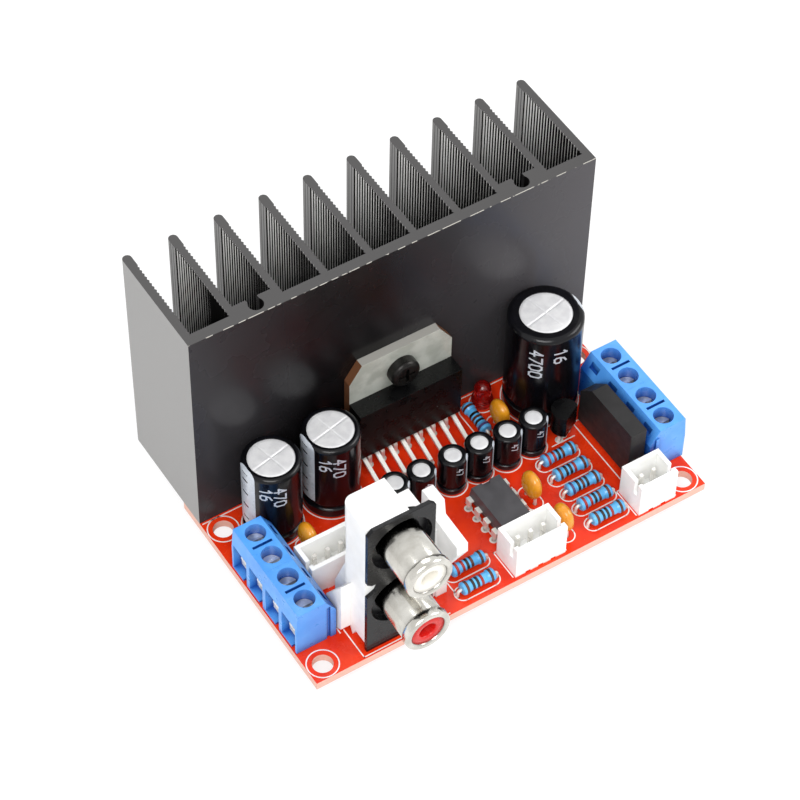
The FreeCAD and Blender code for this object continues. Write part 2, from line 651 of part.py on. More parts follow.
def build_regulator():
    """Small transistor-shaped regulator, turned about Z."""
    round_part = cylinder("regulator_round", "regulator_radius", "0", "0",
                          ("regulator_bottom", "regulator_top"))
    keep = box("regulator_keep", ("-regulator_radius", "regulator_radius"),
               ("-regulator_flat", "regulator_radius"),
               ("regulator_bottom", "regulator_top"))
    body = document.addObject("Part::Common", "regulator_solid")
    body.Base = round_part
    body.Tool = keep
    finish(body, "regulator_body", "regulator_x", "regulator_y", "0", "regulator_turn")
    leads = []
    for number in (-1, 0, 1):
        along = f"{number} * regulator_pitch"
        leads.append(box("regulator_lead", (f"{along} - flat_lead / 2", f"{along} + flat_lead / 2"),
                         ("-flat_lead / 2", "flat_lead / 2"), ("-board_thickness", "regulator_bottom")))
        drill(f"regulator_x + {along} * cos(regulator_turn * 1 deg)",
              f"regulator_y + {along} * sin(regulator_turn * 1 deg)", "flat_lead / 2 + flat_lead_drill")
    finish(group("regulator_wires", leads), "regulator_leads", "regulator_x", "regulator_y", "0",
           "regulator_turn")


def build_indicator():
    """Round indicator lamp."""
    flange = cylinder("lamp_rim", "lamp_flange", "lamp_x", "lamp_y", ("lamp_bottom", "lamp_flange_top"))
    wall = cylinder("lamp_wall", "lamp_radius", "lamp_x", "lamp_y", ("lamp_bottom", "lamp_shoulder"))
    dome = document.addObject("Part::Sphere", "lamp_dome")
    move(bind(dome, Radius="lamp_radius"), "lamp_x", "lamp_y", "lamp_shoulder")
    finish(fuse("lamp", [flange, wall, dome]), "indicator_lens")
    leads = []
    for side in ("-", "+"):
        x = f"lamp_x {side} lamp_pitch / 2"
        leads.append(box("lamp_lead", (f"{x} - flat_lead / 2", f"{x} + flat_lead / 2"),
                         ("lamp_y - flat_lead / 2", "lamp_y + flat_lead / 2"),
                         ("-board_thickness", "lamp_bottom")))
        drill(x, "lamp_y", "flat_lead / 2 + flat_lead_drill")
    finish(group("lamp_leads", leads), "indicator_leads")


def build_small_chip():
    """Eight-pin chip with pins bent down from its sides."""
    half = "small_chip_width / 2"
    parting = "(small_chip_bottom + small_chip_top) / 2"
    top = f"{half} - small_chip_draft"
    body = slab("small_chip", "XZ_Plane", [
        (f"-({top})", "small_chip_bottom"), (top, "small_chip_bottom"), (half, parting),
        (top, "small_chip_top"),
        (f"-({top})", "small_chip_top"), (f"-{half}", parting)],
        "-small_chip_length / 2", "small_chip_length / 2")
    notch = cylinder("small_chip_bite", "small_chip_notch", "0", "small_chip_length / 2",
                     ("small_chip_top - small_chip_notch_depth", "small_chip_top + 1"))
    finish(cut("small_chip_solid", body, [notch]), "preamp_chip_body", "small_chip_x", "small_chip_y")
    reach = size("small_chip_rows") / 2
    level = value_of(parting)
    gauge = size("small_pin_gauge")
    side = size("small_chip_width") / 2
    knee = size("small_pin_knee")
    shoulder = bent_strip([(side, level), (reach, level), (reach, knee)], gauge, size("small_pin_shoulder"))
    tail = Part.makeBox(gauge, size("small_pin_width"), knee + size("board_thickness"),
                        Vector(reach - gauge / 2, -size("small_pin_width") / 2, -size("board_thickness")))
    pin = shaped("small_pin_form", shoulder.fuse(tail).removeSplitter())
    pins = []
    for number in range(4):
        y = f"({number} - 1.5) * small_chip_pitch"
        pins.append(copy("small_pin_right", pin, "0", y))
        pins.append(copy("small_pin_left", pin, "0", y, "0", "180"))
        for sign in ("-", "+"):
            drill(f"small_chip_x {sign} small_chip_rows / 2", f"small_chip_y + {y}",
                  "small_pin_width / 2 + 0.05")
    finish(group("small_pins", pins), "preamp_chip_leads", "small_chip_x", "small_chip_y")


def build_power_chip():
    """Tab-mounted power chip: tab, moulding, two rows of leads and its screw."""
    left, right = "chip_x - chip_width / 2", "chip_x + chip_width / 2"
    tab_bottom = "chip_bottom + tab_foot"
    tab = slab("tab", "XZ_Plane", [
        (left, tab_bottom), (right, tab_bottom), (right, "tab_top - tab_cut_z"),
        (f"{right} - tab_cut_x", "tab_top"),
        (f"{left} + tab_cut_x", "tab_top"), (left, "tab_top - tab_cut_z")],
        "sink_front - tab_thickness", "sink_front")
    hole = cylinder("tab_hole", "tab_hole_radius", "chip_x",
                    ("sink_front - 2 * tab_thickness", "sink_front + 1"),
                    "chip_screw_z")
    finish(cut("tab_solid", tab, [hole]), "amp_chip_tab")
    front = "sink_front - chip_depth"
    block = box("moulding", (left, right), (front, "sink_front"), ("chip_bottom", "chip_top"))
    room = box("moulding_room", (f"{left} - 1", f"{right} + 1"),
               ("sink_front - tab_thickness", "sink_front + 1"),
               (tab_bottom, "chip_top + 1"))
    finish(cut("moulding_solid", block, [room]), "amp_chip_body")
    front_row, back_row = size("chip_row_front"), value_of("chip_row_front + chip_row_gap")
    exit_y = value_of("sink_front - chip_lead_inset")
    bottom, end = size("chip_bottom"), -size("board_thickness")
    stub, foot, drop = size("chip_lead_stub"), size("chip_lead_foot"), size("chip_lead_drop")
    paths = {
        "front": [(exit_y, bottom), (exit_y, bottom - stub), (front_row, foot), (front_row, end)],
        "back": [(exit_y, bottom), (exit_y, bottom - stub), (back_row, bottom - drop), (back_row, end)]}
    forms = {}
    for name, path in paths.items():
        strip = bent_strip(path, size("chip_lead_gauge"), size("chip_lead_width"))
        strip.rotate(Vector(), ALONG["z"], 90)
        forms[name] = shaped(f"chip_lead_{name}", strip)
    leads = []
    count = int(size("chip_lead_count"))
    for name, total, y in (("front", count, "chip_row_front"),
                           ("back", count - 1, "chip_row_front + chip_row_gap")):
        for number in range(total):
            x = f"chip_x + ({number} - {(total - 1) / 2}) * chip_lead_pitch"
            leads.append(copy(f"chip_lead_{name}_copy", forms[name], x, "0"))
            drill(x, y, "chip_lead_width / 2 + chip_lead_drill")
    finish(group("chip_leads", leads), "amp_chip_leads")
    face = "sink_front - tab_thickness"
    head = cylinder("chip_screw_cap", "chip_screw_head", "chip_x", (f"{face} - chip_screw_rise", face),
                    "chip_screw_z")
    head = rounded("chip_screw_pan", head, 0.8 * size("chip_screw_rise") / 2,
                   lambda edge: edge.CenterOfMass.y < value_of(face) - 1 and len(edge.Vertexes) == 1)
    shank = cylinder("chip_screw_shank", "chip_screw_radius - fit_clearance", "chip_x",
                     (f"{face} - 0.5", f"{face} + chip_screw_length"), "chip_screw_z")
    slots = []
    for across_x, across_z in (("cross_reach", "cross_half"), ("cross_half", "cross_reach")):
        slots.append(box("chip_screw_slot", (f"chip_x - {across_x}", f"chip_x + {across_x}"),
                         (f"{face} - chip_screw_rise - 1", f"{face} - chip_screw_rise + chip_cross_depth"),
                         (f"chip_screw_z - {across_z}", f"chip_screw_z + {across_z}")))
    finish(cut("chip_screw_solid", fuse("chip_screw_blank", [head, shank]), slots), "chip_screw")


def fin_edges(centre, inner_left, inner_right):
    """Corner points up one side of a fin, its tip arc and down the other side."""
    root = size("sink_front") + size("sink_base")
    tip = size("sink_front") + size("sink_depth")
    half = size("fin_width") / 2
    smooth = tip - size("fin_smooth")
    depth = size("rib_depth")
    count = round((smooth - root) / size("rib_pitch"))
    pitch = (smooth - root) / count

    def side(sign, ribbed):
        if not ribbed:
            return [(centre + sign * half, root), (centre + sign * half, tip - half)]
        points = [(centre + sign * (half - depth), root)]
        for number in range(count):
            points.append((centre + sign * half, root + (number + 0.5) * pitch))
            points.append((centre + sign * (half - depth), root + (number + 0.9) * pitch))
        return points + [(centre + sign * half, smooth + 0.2), (centre + sign * half, tip - half)]

    return side(1, inner_right), (centre, tip), side(-1, inner_left)[::-1]


def sink_shape():
    """Extruded heatsink: base plate with ribbed fins, as one closed outline pulled along Z."""
    length = size("board_length")
    front = size("sink_front")
    count = int(size("fin_count"))
    half = size("fin_width") / 2
    pitch = (length - size("fin_width")) / (count - 1)
    edges = []
    start = Vector(0, front, 0)

    def line_to(x, y):
        nonlocal start
        end = Vector(x, y, 0)
        if (end - start).Length > 1e-6:
            edges.append(Part.LineSegment(start, end).toShape())
            start = end

    line_to(length, front)
    for number in reversed(range(count)):
        up, tip, down = fin_edges(half + number * pitch, number > 0, number < count - 1)
        for x, y in up:
            line_to(x, y)
        end = Vector(*down[0], 0)
        edges.append(Part.Arc(start, Vector(*tip, 0), end).toShape())
        start = end
        for x, y in down[1:]:
            line_to(x, y)
    line_to(0, front)
    height = Vector(0, 0, size("sink_height"))
    solid = Part.Face(Part.Wire(edges)).extrude(height)
    bosses = []
    for number in (1, count - 3):
        left = half + number * pitch
        bosses.append(Part.makeBox(pitch, size("boss_depth"), size("sink_height"), Vector(left, front, 0)))
    return solid.fuse(bosses).removeSplitter()


def channel_places():
    """Formulas for the X of the two screw channels, midway between fins 2 and 3 from each end."""
    pitch = "(board_length - fin_width) / (fin_count - 1)"
    return [f"fin_width / 2 + 1.5 * {pitch}", f"board_length - fin_width / 2 - 1.5 * {pitch}"]


def build_heatsink():
    """Finned extrusion with two screw channels and a tapped hole, and the two screws that hold it."""
    tools = []
    screws = []
    centre_y = "sink_front + channel_back"
    for x in channel_places():
        tools.append(cylinder("sink_channel", "channel_radius", x, centre_y, ("-1", "sink_height + 1")))
        tools.append(box("sink_slot", (f"{x} - channel_slot / 2", f"{x} + channel_slot / 2"),
                         (centre_y, "sink_front + boss_depth + 1"), ("-1", "sink_height + 1")))
        under = "-board_thickness"
        head = cylinder("sink_screw_cap", "sink_screw_head", x, centre_y,
                        (f"{under} - solder_height - tip_length", under))
        shank = cylinder("sink_screw_shank", "channel_radius - fit_clearance", x, centre_y,
                         (f"{under} - 0.5", "sink_screw_top"))
        slots = []
        for across_x, across_y in (("cross_reach", "cross_half"), ("cross_half", "cross_reach")):
            slots.append(box("sink_screw_slot", (f"{x} - {across_x}", f"{x} + {across_x}"),
                             (f"{centre_y} - {across_y}", f"{centre_y} + {across_y}"),
                             (f"{under} - solder_height - tip_length - 1",
                              f"{under} - solder_height - tip_length + sink_cross_depth")))
        screws.append(cut("sink_screw", fuse("sink_screw_blank", [head, shank]), slots))
    screw_end = "sink_front - tab_thickness + chip_screw_length + 2 * fit_clearance"
    tools.append(cylinder("sink_tapping", "chip_screw_radius", "chip_x", ("sink_front - 1", screw_end),
                          "chip_screw_z"))
    finish(cut("sink_solid", shaped("sink_extrusion", sink_shape()), tools), "heatsink")
    finish(group("sink_screws", screws), "heatsink_screws")


def header_form(name, count):
    """Shrouded header with room for its pins, keyed short walls and gaps under its front wall."""
    length = f"(2 * header_margin + {count - 1} * header_pitch)"
    block = box(f"{name}_block", ("0", length), ("0", "header_depth"), ("0", "header_height"))
    room = box(f"{name}_room", ("header_wall", f"{length} - header_wall"),
               ("header_wall", "header_depth - header_wall"),
               ("header_floor", "header_height + 1"))
    tools = [room]
    for low, high in (("-1", "header_wall + 0.1"), (f"{length} - header_wall - 0.1", f"{length} + 1")):
        tools.append(box(f"{name}_key", (low, high), ("header_key_front", "header_key_front + header_key"),
                         ("header_height - header_key_depth", "header_height + 1")))
    for number in range(count):
        x = f"header_margin + {number} * header_pitch"
        tools.append(box(f"{name}_gap", (f"{x} - header_gap / 2", f"{x} + header_gap / 2"),
                         ("-1", "header_wall"), ("-1", "header_gap_height")))
        tools.append(box(f"{name}_pin_hole", (f"{x} - header_pin / 2", f"{x} + header_pin / 2"),
                         ("header_pin_back - header_pin / 2", "header_pin_back + header_pin / 2"),
                         ("-1", "header_floor + 1")))
    return cut(name, block, tools)


def build_headers():
    """Two three-pin headers, one two-pin header and all their pins."""
    long_form = header_form("long_header", 3)
    short_form = header_form("short_header", 2)
    pins = []
    for label, form, count in (("left_header", long_form, 3), ("front_header", long_form, 3),
                               ("right_header", short_form, 2)):
        x, y = f"{label}_x", f"{label}_y"
        finish(group(f"{label}_copy", [form]), label, x, y)
        for number in range(count):
            pin_x = f"{x} + header_margin + {number} * header_pitch"
            pin_y = f"{y} + header_pin_back"
            pins.append(box("header_pin_bar", (f"{pin_x} - header_pin / 2", f"{pin_x} + header_pin / 2"),
                            (f"{pin_y} - header_pin / 2", f"{pin_y} + header_pin / 2"),
                            ("-board_thickness", "header_pin_top")))
            drill(pin_x, pin_y, "header_pin * square_drill")
    finish(group("header_pin_set", pins), "header_pins")


def block_form():
    """Two-pole terminal housing with its entry face on X = 0, centred on Y = 0."""
    back = "block_depth"
    solid = slab("block_solid", "XZ_Plane", [
        ("0", "0"), (back, "0"), (back, "block_height - block_bevel_z"),
        (f"{back} - block_bevel_x", "block_height"),
        ("block_lean", "block_height"), ("0", "block_knee")], "-pole_pitch", "pole_pitch")
    rail = box("block_rail", ("rail_back", "rail_back + rail_width"),
               ("pole_pitch", "pole_pitch + rail_height"),
               ("0", "block_height - rail_top_gap"))
    tools = [
        box("block_groove", ("rail_back - fit_clearance", "rail_back + rail_width + fit_clearance"),
            ("-pole_pitch - 1", "-pole_pitch + rail_height + fit_clearance"),
            ("-1", "block_height - rail_top_gap + fit_clearance")),
        box("block_slit", ("slit_front", "slit_back"), ("-slit_width / 2", "slit_width / 2"),
            ("block_height - slit_depth", "block_height + 1"))]
    for side in ("-", "+"):
        middle = f"({side} pole_pitch / 2)"
        room = (f"{middle} - chamber_width / 2", f"{middle} + chamber_width / 2")
        tools.append(box("chamber", ("-1", "chamber_depth"), room, ("chamber_floor", "chamber_top")))
        tools.append(box("chamber_notch", ("-1", "notch_depth"),
                         (f"{middle} - chamber_width / 2", f"{middle} - chamber_width / 2 + notch_width"),
                         ("-1", "chamber_floor + 0.1")))
        tools.append(cylinder("screw_hole", "screw_hole_radius", "screw_depth", middle,
                              ("chamber_top - 0.1", "block_height + 1")))
        tools.append(box("pin_hole", ("pin_back - pin_gauge", "pin_back"),
                         (f"{middle} - pin_width / 2", f"{middle} + pin_width / 2"),
                         ("-1", "chamber_floor + 0.1")))
        near = f"{back} - block_bevel_x + probe_gap"
        tools.append(box("probe_slot", (near, f"{near} + probe_gauge"),
                         (f"{middle} - probe_width / 2", f"{middle} + probe_width / 2"),
                         ("block_height - probe_depth", "block_height + 1")))
    return cut("block_form", fuse("block_blank", [solid, rail]), tools)


def screw_form():
    """Terminal screw about X = screw_depth, with a slotted head."""
    tip = "bar_bottom + bar_gauge + fit_clearance"
    head = cylinder("terminal_screw_cap", "screw_head_radius", "screw_depth", "0",
                    ("chamber_top + fit_clearance", "screw_head_top"))
    shank = cylinder("terminal_screw_shank", "screw_shank_radius", "screw_depth", "0",
                     (tip, "chamber_top + 0.5"))
    slot = box("terminal_screw_slot",
               ("screw_depth - screw_head_radius - 1", "screw_depth + screw_head_radius + 1"),
               ("-screw_slot / 2", "screw_slot / 2"),
               ("screw_head_top - screw_slot_depth", "screw_head_top + 1"))
    return cut("screw_form", fuse("terminal_screw_blank", [head, shank]), [slot])


def cage_form():
    """Rising cage of one pole in its open position: a loop whose roof is threaded on the screw."""
    half = "(chamber_width / 2 - cage_side_gap)"
    low = "chamber_floor + cage_lift"
    room_top = "bar_bottom + bar_gauge + fit_clearance"
    near, far = "screw_depth - cage_depth / 2", "screw_depth + cage_depth / 2"
    block = box("cage_block", (near, far), (f"-{half}", half), (low, f"{room_top} + cage_roof"))
    room = box("cage_room", (f"{near} - 1", f"{far} + 1"), (f"-{half} + cage_wall", f"{half} - cage_wall"),
               (f"{low} + cage_bottom", room_top))
    thread = cylinder("cage_thread", "screw_shank_radius + fit_clearance", "screw_depth", "0",
                      ("bar_bottom", "chamber_top"))
    return cut("cage_form", block, [room, thread])


def contact_form():
    """Contact bar of one pole with its solder pin, both from one strip."""
    top = "bar_bottom + bar_gauge"
    bar = box("contact_bar", ("bar_front", "pin_back"), ("-bar_width / 2", "bar_width / 2"),
              ("bar_bottom", top))
    pin = box("contact_pin", ("pin_back - pin_gauge", "pin_back"), ("-pin_width / 2", "pin_width / 2"),
              ("-board_thickness", top))
    return fuse("contact_form", [bar, pin])


def build_terminals():
    """Four two-pole terminal blocks: two on the left edge and two, turned round, on the right edge."""
    housing, screw, cage, contact = block_form(), screw_form(), cage_form(), contact_form()
    right_x = "board_length + right_block_overhang"
    blocks = (("left_block_x", "left_block_y", "0"), ("left_block_x", "left_block_y + 2 * pole_pitch", "0"),
              (right_x, "right_block_y", "180"), (right_x, "right_block_y + 2 * pole_pitch", "180"))
    contacts = []
    for number, (x, y, turn) in enumerate(blocks):
        finish(group("housing_copy", [housing]), f"terminal_housing_{number + 1}", x, y, "0", turn)
        sign = "+" if turn == "0" else "-"
        for half in (0, 1):
            pole = 2 * number + half + 1
            pole_y = f"{y} + ({half} - 0.5) * pole_pitch"
            finish(group("screw_copy", [screw]), f"terminal_screw_{pole}", x, pole_y, "0", turn)
            finish(group("cage_copy", [cage]), f"terminal_cage_{pole}", x, pole_y, "0", turn)
            contacts.append(copy("contact_copy", contact, x, pole_y, "0", turn))
            drill(f"{x} {sign} (pin_back - pin_gauge / 2)", pole_y, "pin_width / 2 + 0.1")
    finish(group("contact_set", contacts), "terminal_contacts")


def build_phono():
    """Stacked pair of phono sockets in one housing behind a front plate."""
    plate_back = "jack_front + jack_plate"
    right = "jack_left + jack_width"
    axes = ("jack_axis_z", "jack_axis_z + jack_axis_gap")
    tower = box("jack_tower", ("jack_left", "tower_right"), (plate_back, "jack_back"),
                ("jack_underside", "jack_top"))
    tower = rounded("jack_tower_round", tower, size("jack_round"),
                    lambda edge: abs(edge.CenterOfMass.x - size("jack_left")) < 0.01
                    and abs(edge.CenterOfMass.y - size("jack_back")) < 0.01)
    side = box("jack_side", ("tower_right", right), (plate_back, "jack_back"),
               ("jack_underside", "jack_step"))
    web = box("jack_web", (right, "cheek_left + 0.5"), ("4.4", "6.2"), ("jack_foot", "18"))
    cheek = slab("jack_cheek", "YZ_Plane", [
        ("4.2", "0"), ("6.6", "0"), ("7.4", "6.6"), ("9.3", "12"), ("9.3", "23"), ("5.9", "23"),
        ("5.4", "19.8"),
        ("-1", "19.5"), ("-1.1", "17.4"), ("4.4", "6.6")], "cheek_left", "cheek_right")
    wing = slab("jack_wing", "YZ_Plane", [
        ("5.7", "2"), ("7", "1"), ("8.1", "0"), ("9", "1"), ("10.2", "2.2"), ("10.2", "6.7"),
        ("5.7", "13.6")],
        "wing_left", "jack_left + 0.5")
    leg = slab("jack_leg", "YZ_Plane",
               [("5.2", "0"), ("6.4", "jack_underside + 0.5"), ("4", "jack_underside + 0.5")],
               "jack_left", "jack_left + 2")
    tail = slab("jack_tail", "YZ_Plane", [
        ("8", "0"), ("12.2", "0"), ("12.2", "6"), ("8.5", "16"), ("8", "16")], "jack_left + 1",
        "tower_right - 1")
    bores = []
    for z in axes:
        bores.append(cylinder("jack_pocket", "spigot_radius + fit_clearance", "jack_axis_x",
                              ("jack_front", "spigot_back + fit_clearance"), z))
        bores.append(cylinder("jack_passage", "shell_radius + fit_clearance", "jack_axis_x",
                              ("jack_front", "spigot_back + 1"), z))
    recess = box("jack_recess", ("jack_left - 1", "jack_left + 0.8"), ("jack_back - 1.5", "jack_back + 1"),
                 ("19", "26.5"))
    solid = fuse("jack_solid", [tower, side, web, cheek, wing, leg, tail])
    finish(cut("jack_moulding", solid, bores + [recess]), "jack_housing")

    sheet_part = slab("plate_sheet", "XZ_Plane", [
        ("jack_left", "jack_foot"), (right, "jack_foot"), (right, "jack_top - 1"),
        (f"{right} - 1", "jack_top"),
        ("jack_left + 1", "jack_top"), ("jack_left", "jack_top - 1"), ("jack_left", "18.4"),
        ("jack_left + 0.8", "17.7"),
        ("jack_left + 2.4", "17.5"), ("jack_left + 1.6", "15.6"), ("jack_left", "14.8")], "jack_front",
        plate_back)
    spigots = []
    tools = []
    for z in axes:
        spigots.append(cylinder("plate_spigot", "spigot_radius", "jack_axis_x", (plate_back, "spigot_back"),
                                z))
        tools.append(cylinder("plate_well", "well_radius", "jack_axis_x", ("jack_front - 1", "well_floor"),
                              z))
        tools.append(cylinder("plate_bore", "shell_radius + fit_clearance", "jack_axis_x",
                              ("jack_front - 1", "spigot_back + 1"), z))
    finish(cut("plate_solid", fuse("plate_blank", [sheet_part] + spigots), tools), "jack_plate")

    for name, z in zip(("lower", "upper"), axes):
        tube = cylinder(f"shell_{name}_tube", "shell_radius", "jack_axis_x",
                        ("shell_front", "spigot_back + 1"), z)
        rim = cylinder(f"shell_{name}_rim", "shell_radius + shell_rim", "jack_axis_x",
                       ("shell_front", "shell_front + rim_length"), z)
        bore = cylinder(f"shell_{name}_bore", "shell_radius - shell_wall", "jack_axis_x",
                        ("shell_front - 1", "spigot_back + 2"), z)
        finish(cut(f"shell_{name}", fuse(f"shell_{name}_blank", [tube, rim]), [bore]), f"jack_shell_{name}")
        core = cylinder(f"insert_{name}_core", "shell_radius - shell_wall - fit_clearance", "jack_axis_x",
                        ("shell_front + 0.3", "spigot_back + 1"), z)
        hole = cylinder(f"insert_{name}_hole", "insert_bore", "jack_axis_x",
                        ("shell_front - 1", "shell_front + bore_depth"), z)
        mouth = document.addObject("Part::Cone", f"insert_{name}_mouth")
        mouth.Placement = FreeCAD.Placement(Vector(), Rotation(ALONG["z"], ALONG["y"]))
        bind(mouth, Radius1="insert_mouth", Radius2="insert_bore", Height="1.2")
        bind(mouth, Placement__Base__x="jack_axis_x", Placement__Base__y="shell_front + 0.3",
             Placement__Base__z=z)
        finish(cut(f"insert_{name}", core, [hole, mouth]), f"jack_insert_{name}")

    legs = []
    for x, y in (("13.5", "7.2"), ("20.6", "7.2"), ("12.2", "10.6"), ("15.2", "10.6")):
        bottom = "jack_underside" if y == "7.2" else "0"
        legs.append(box("jack_lug", (f"{x} - 0.5", f"{x} + 0.5"), (f"{y} - 0.2", f"{y} + 0.2"),
                        ("-board_thickness", bottom)))
        drill(x, y, "0.6")
    finish(group("jack_lugs", legs), "jack_contacts")


def build_board():
    """Board with mounting holes, screw holes and a drilled hole for each lead, and the solder joints."""
    under = "-board_thickness"
    laminate = slab("laminate", "XY_Plane", rectangle(("0", "board_length"), ("0", "board_depth")), under,
                    "0")
    through = (f"{under} - 1", "1")
    holes = []
    for x in ("hole_inset", "board_length - hole_inset"):
        for y in ("hole_inset", "hole_inset + hole_spacing_y"):
            holes.append(cylinder("mount_hole", "mount_hole_radius", x, y, through))
    for x in channel_places():
        holes.append(cylinder("sink_screw_hole", "channel_radius + drill_clearance", x,
                              "sink_front + channel_back", through))
    joints = []
    for x, y, radius in drilled:
        holes.append(cylinder("lead_hole", f"{radius} + drill_clearance", x, y, through))
        fillet = cone("solder_cone", "tip_radius", "solder_width", x, y,
                      (f"{under} - solder_height", under))
        tip = cylinder("solder_tip", "tip_radius", x, y,
                       (f"{under} - solder_height - tip_length", f"{under} - solder_height + 0.1"))
        joints.append(fuse("solder_joint", [fillet, tip]))
    finish(cut("board_solid", laminate, holes), "circuit_board")
    finish(group("solder_set", joints), "solder_joints")


build_power_chip()
build_electrolytics()
build_ceramics()
build_resistors()
build_rectifier()
build_regulator()
build_indicator()
build_small_chip()
build_headers()
build_terminals()
build_phono()
build_heatsink()
build_board()
document.recompute()

for item in document.Objects:
    if "Invalid" in item.State or "Error" in item.State:
        raise SystemExit(f"{item.Name} did not build: {item.State}")
for item in finished:
    if item.Shape.isNull() or not item.Shape.isValid():
        raise SystemExit(f"{item.Label} has no sound shape")

os.makedirs("parts", exist_ok=True)
for item in finished:
    item.Shape.exportStep(f"parts/{item.Label}.step")
    print(f"{item.Label}: {len(item.Shape.Solids)} solids, {item.Shape.Volume:.1f} mm3")
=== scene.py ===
"""Looks of the audio amplifier board: finishes, printed marks and small pieces round the CAD frame."""
import logging
import math
from dataclasses import dataclass, field
from enum import Enum

import bpy
from mathutils import Matrix, Vector


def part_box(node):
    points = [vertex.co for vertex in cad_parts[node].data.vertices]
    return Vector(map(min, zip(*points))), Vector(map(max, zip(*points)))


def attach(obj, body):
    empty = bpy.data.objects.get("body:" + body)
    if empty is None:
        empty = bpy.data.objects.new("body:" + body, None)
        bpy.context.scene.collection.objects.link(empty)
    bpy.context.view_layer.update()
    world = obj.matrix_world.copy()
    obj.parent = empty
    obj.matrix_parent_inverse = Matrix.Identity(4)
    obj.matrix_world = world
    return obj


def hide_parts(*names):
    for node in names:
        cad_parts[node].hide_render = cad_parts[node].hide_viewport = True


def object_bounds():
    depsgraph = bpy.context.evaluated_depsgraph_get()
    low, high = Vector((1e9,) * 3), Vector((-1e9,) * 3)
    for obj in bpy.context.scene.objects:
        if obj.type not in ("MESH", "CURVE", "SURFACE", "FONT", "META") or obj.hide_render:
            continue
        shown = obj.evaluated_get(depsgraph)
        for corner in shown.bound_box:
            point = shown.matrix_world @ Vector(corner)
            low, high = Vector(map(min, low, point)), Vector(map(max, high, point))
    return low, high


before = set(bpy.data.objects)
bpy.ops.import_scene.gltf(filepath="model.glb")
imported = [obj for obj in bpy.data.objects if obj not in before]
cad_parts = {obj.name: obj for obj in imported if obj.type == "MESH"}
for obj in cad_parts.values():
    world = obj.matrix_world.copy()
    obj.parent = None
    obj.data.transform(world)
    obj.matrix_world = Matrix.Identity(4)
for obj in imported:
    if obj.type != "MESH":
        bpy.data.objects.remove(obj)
cad_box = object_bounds()

MM = 0.001
BOARD_BODY = "board"
log = logging.getLogger("amplifier_board")

Point = tuple[float, float]
Triple = tuple[float, float, float]
Face = tuple[int, ...]
Tree = bpy.types.NodeTree
Socket = bpy.types.NodeSocket


def linear(hex_colour: str) -> tuple[float, float, float, float]:
    """Turn an sRGB hex colour into linear light.

    Args:
        hex_colour: six hex digits after a hash sign.

    Returns:
        Red, green, blue and alpha from 0 to 1.
    """
    parts = [int(hex_colour[place:place + 2], 16) / 255 for place in (1, 3, 5)]
    light = [part / 12.92 if part <= 0.04045 else ((part + 0.055) / 1.055) ** 2.4 for part in parts]
    return (light[0], light[1], light[2], 1.0)


def add_node(tree: Tree, kind: str, settings: dict | None = None,
             links: dict | None = None) -> bpy.types.Node:
    """Add one node with its settings and links.

    Args:
        tree: the material's or world's node tree.
        kind: Blender's name of the node type.
        settings: values by input name or number, or by attribute name after a dot.
        links: output sockets by the input name or number that they feed.

    Returns:
        The new node.
    """
    node = tree.nodes.new(kind)
    settings = settings or {}
    for key in sorted(settings, key=lambda name: not str(name).startswith(".")):
        if str(key).startswith("."):
            setattr(node, key[1:], settings[key])
        else:
            node.inputs[key].default_value = settings[key]
    for key, output in (links or {}).items():
        tree.links.new(output, node.inputs[key])
    return node


class Grain(Enum):
    """How a surface was made, as the stretch of its fine relief along X, Y and Z."""

    MOULDED = (1.0, 1.0, 1.0)
    DIPPED = (0.9, 1.0, 1.1)
    DRAWN_UP = (1.0, 1.0, 0.02)
    ROLLED_ACROSS = (0.03, 1.0, 1.0)
    SPUN = (1.0, 1.0, 0.5)


class Axis(Enum):
    """An axis of the part's frame, by the output of a Separate XYZ node."""

    X = 0
    Y = 1
    Z = 2


@dataclass(frozen=True)
class BareOrLitFace:
    """Faces of a finish, picked by the way that they look: bare faces, or faces given a painted highlight or
    reflection.

    Args:
        axis: faces that look along this axis are picked, or all others where across is set.
        colour: sRGB hex colour of the picked faces.
        roughness: roughness of the picked faces.
        across: picks the faces that look away from the axis.
        least: how far the faces look along the axis, from 0 to 1.
        below: picks only faces that look against the axis, up to this, and leaves out the square ones.
    """

    axis: Axis
    colour: str
    roughness: float
    across: bool = False
    least: float = 0.6
    below: float | None = None


# Limits of the patch noise between which a finish goes over from its colour to its shade.
PATCH_LIMITS = (0.3, 0.7)
# The same for roughness, and how many of its patches fill one patch of the colour.
POLISH_LIMITS = (0.25, 0.75)
POLISH_PATCHES = 1.7
LEAST_ROUGHNESS = 0.03
COAT_ROUGHNESS = 0.06
RELIEF_STRENGTH = 0.6
# Share of open sky over a spot, from the painted shade in a deep hole to the plain colour.
HOLLOW_SHADE_LIMITS = (0.45, 0.9)


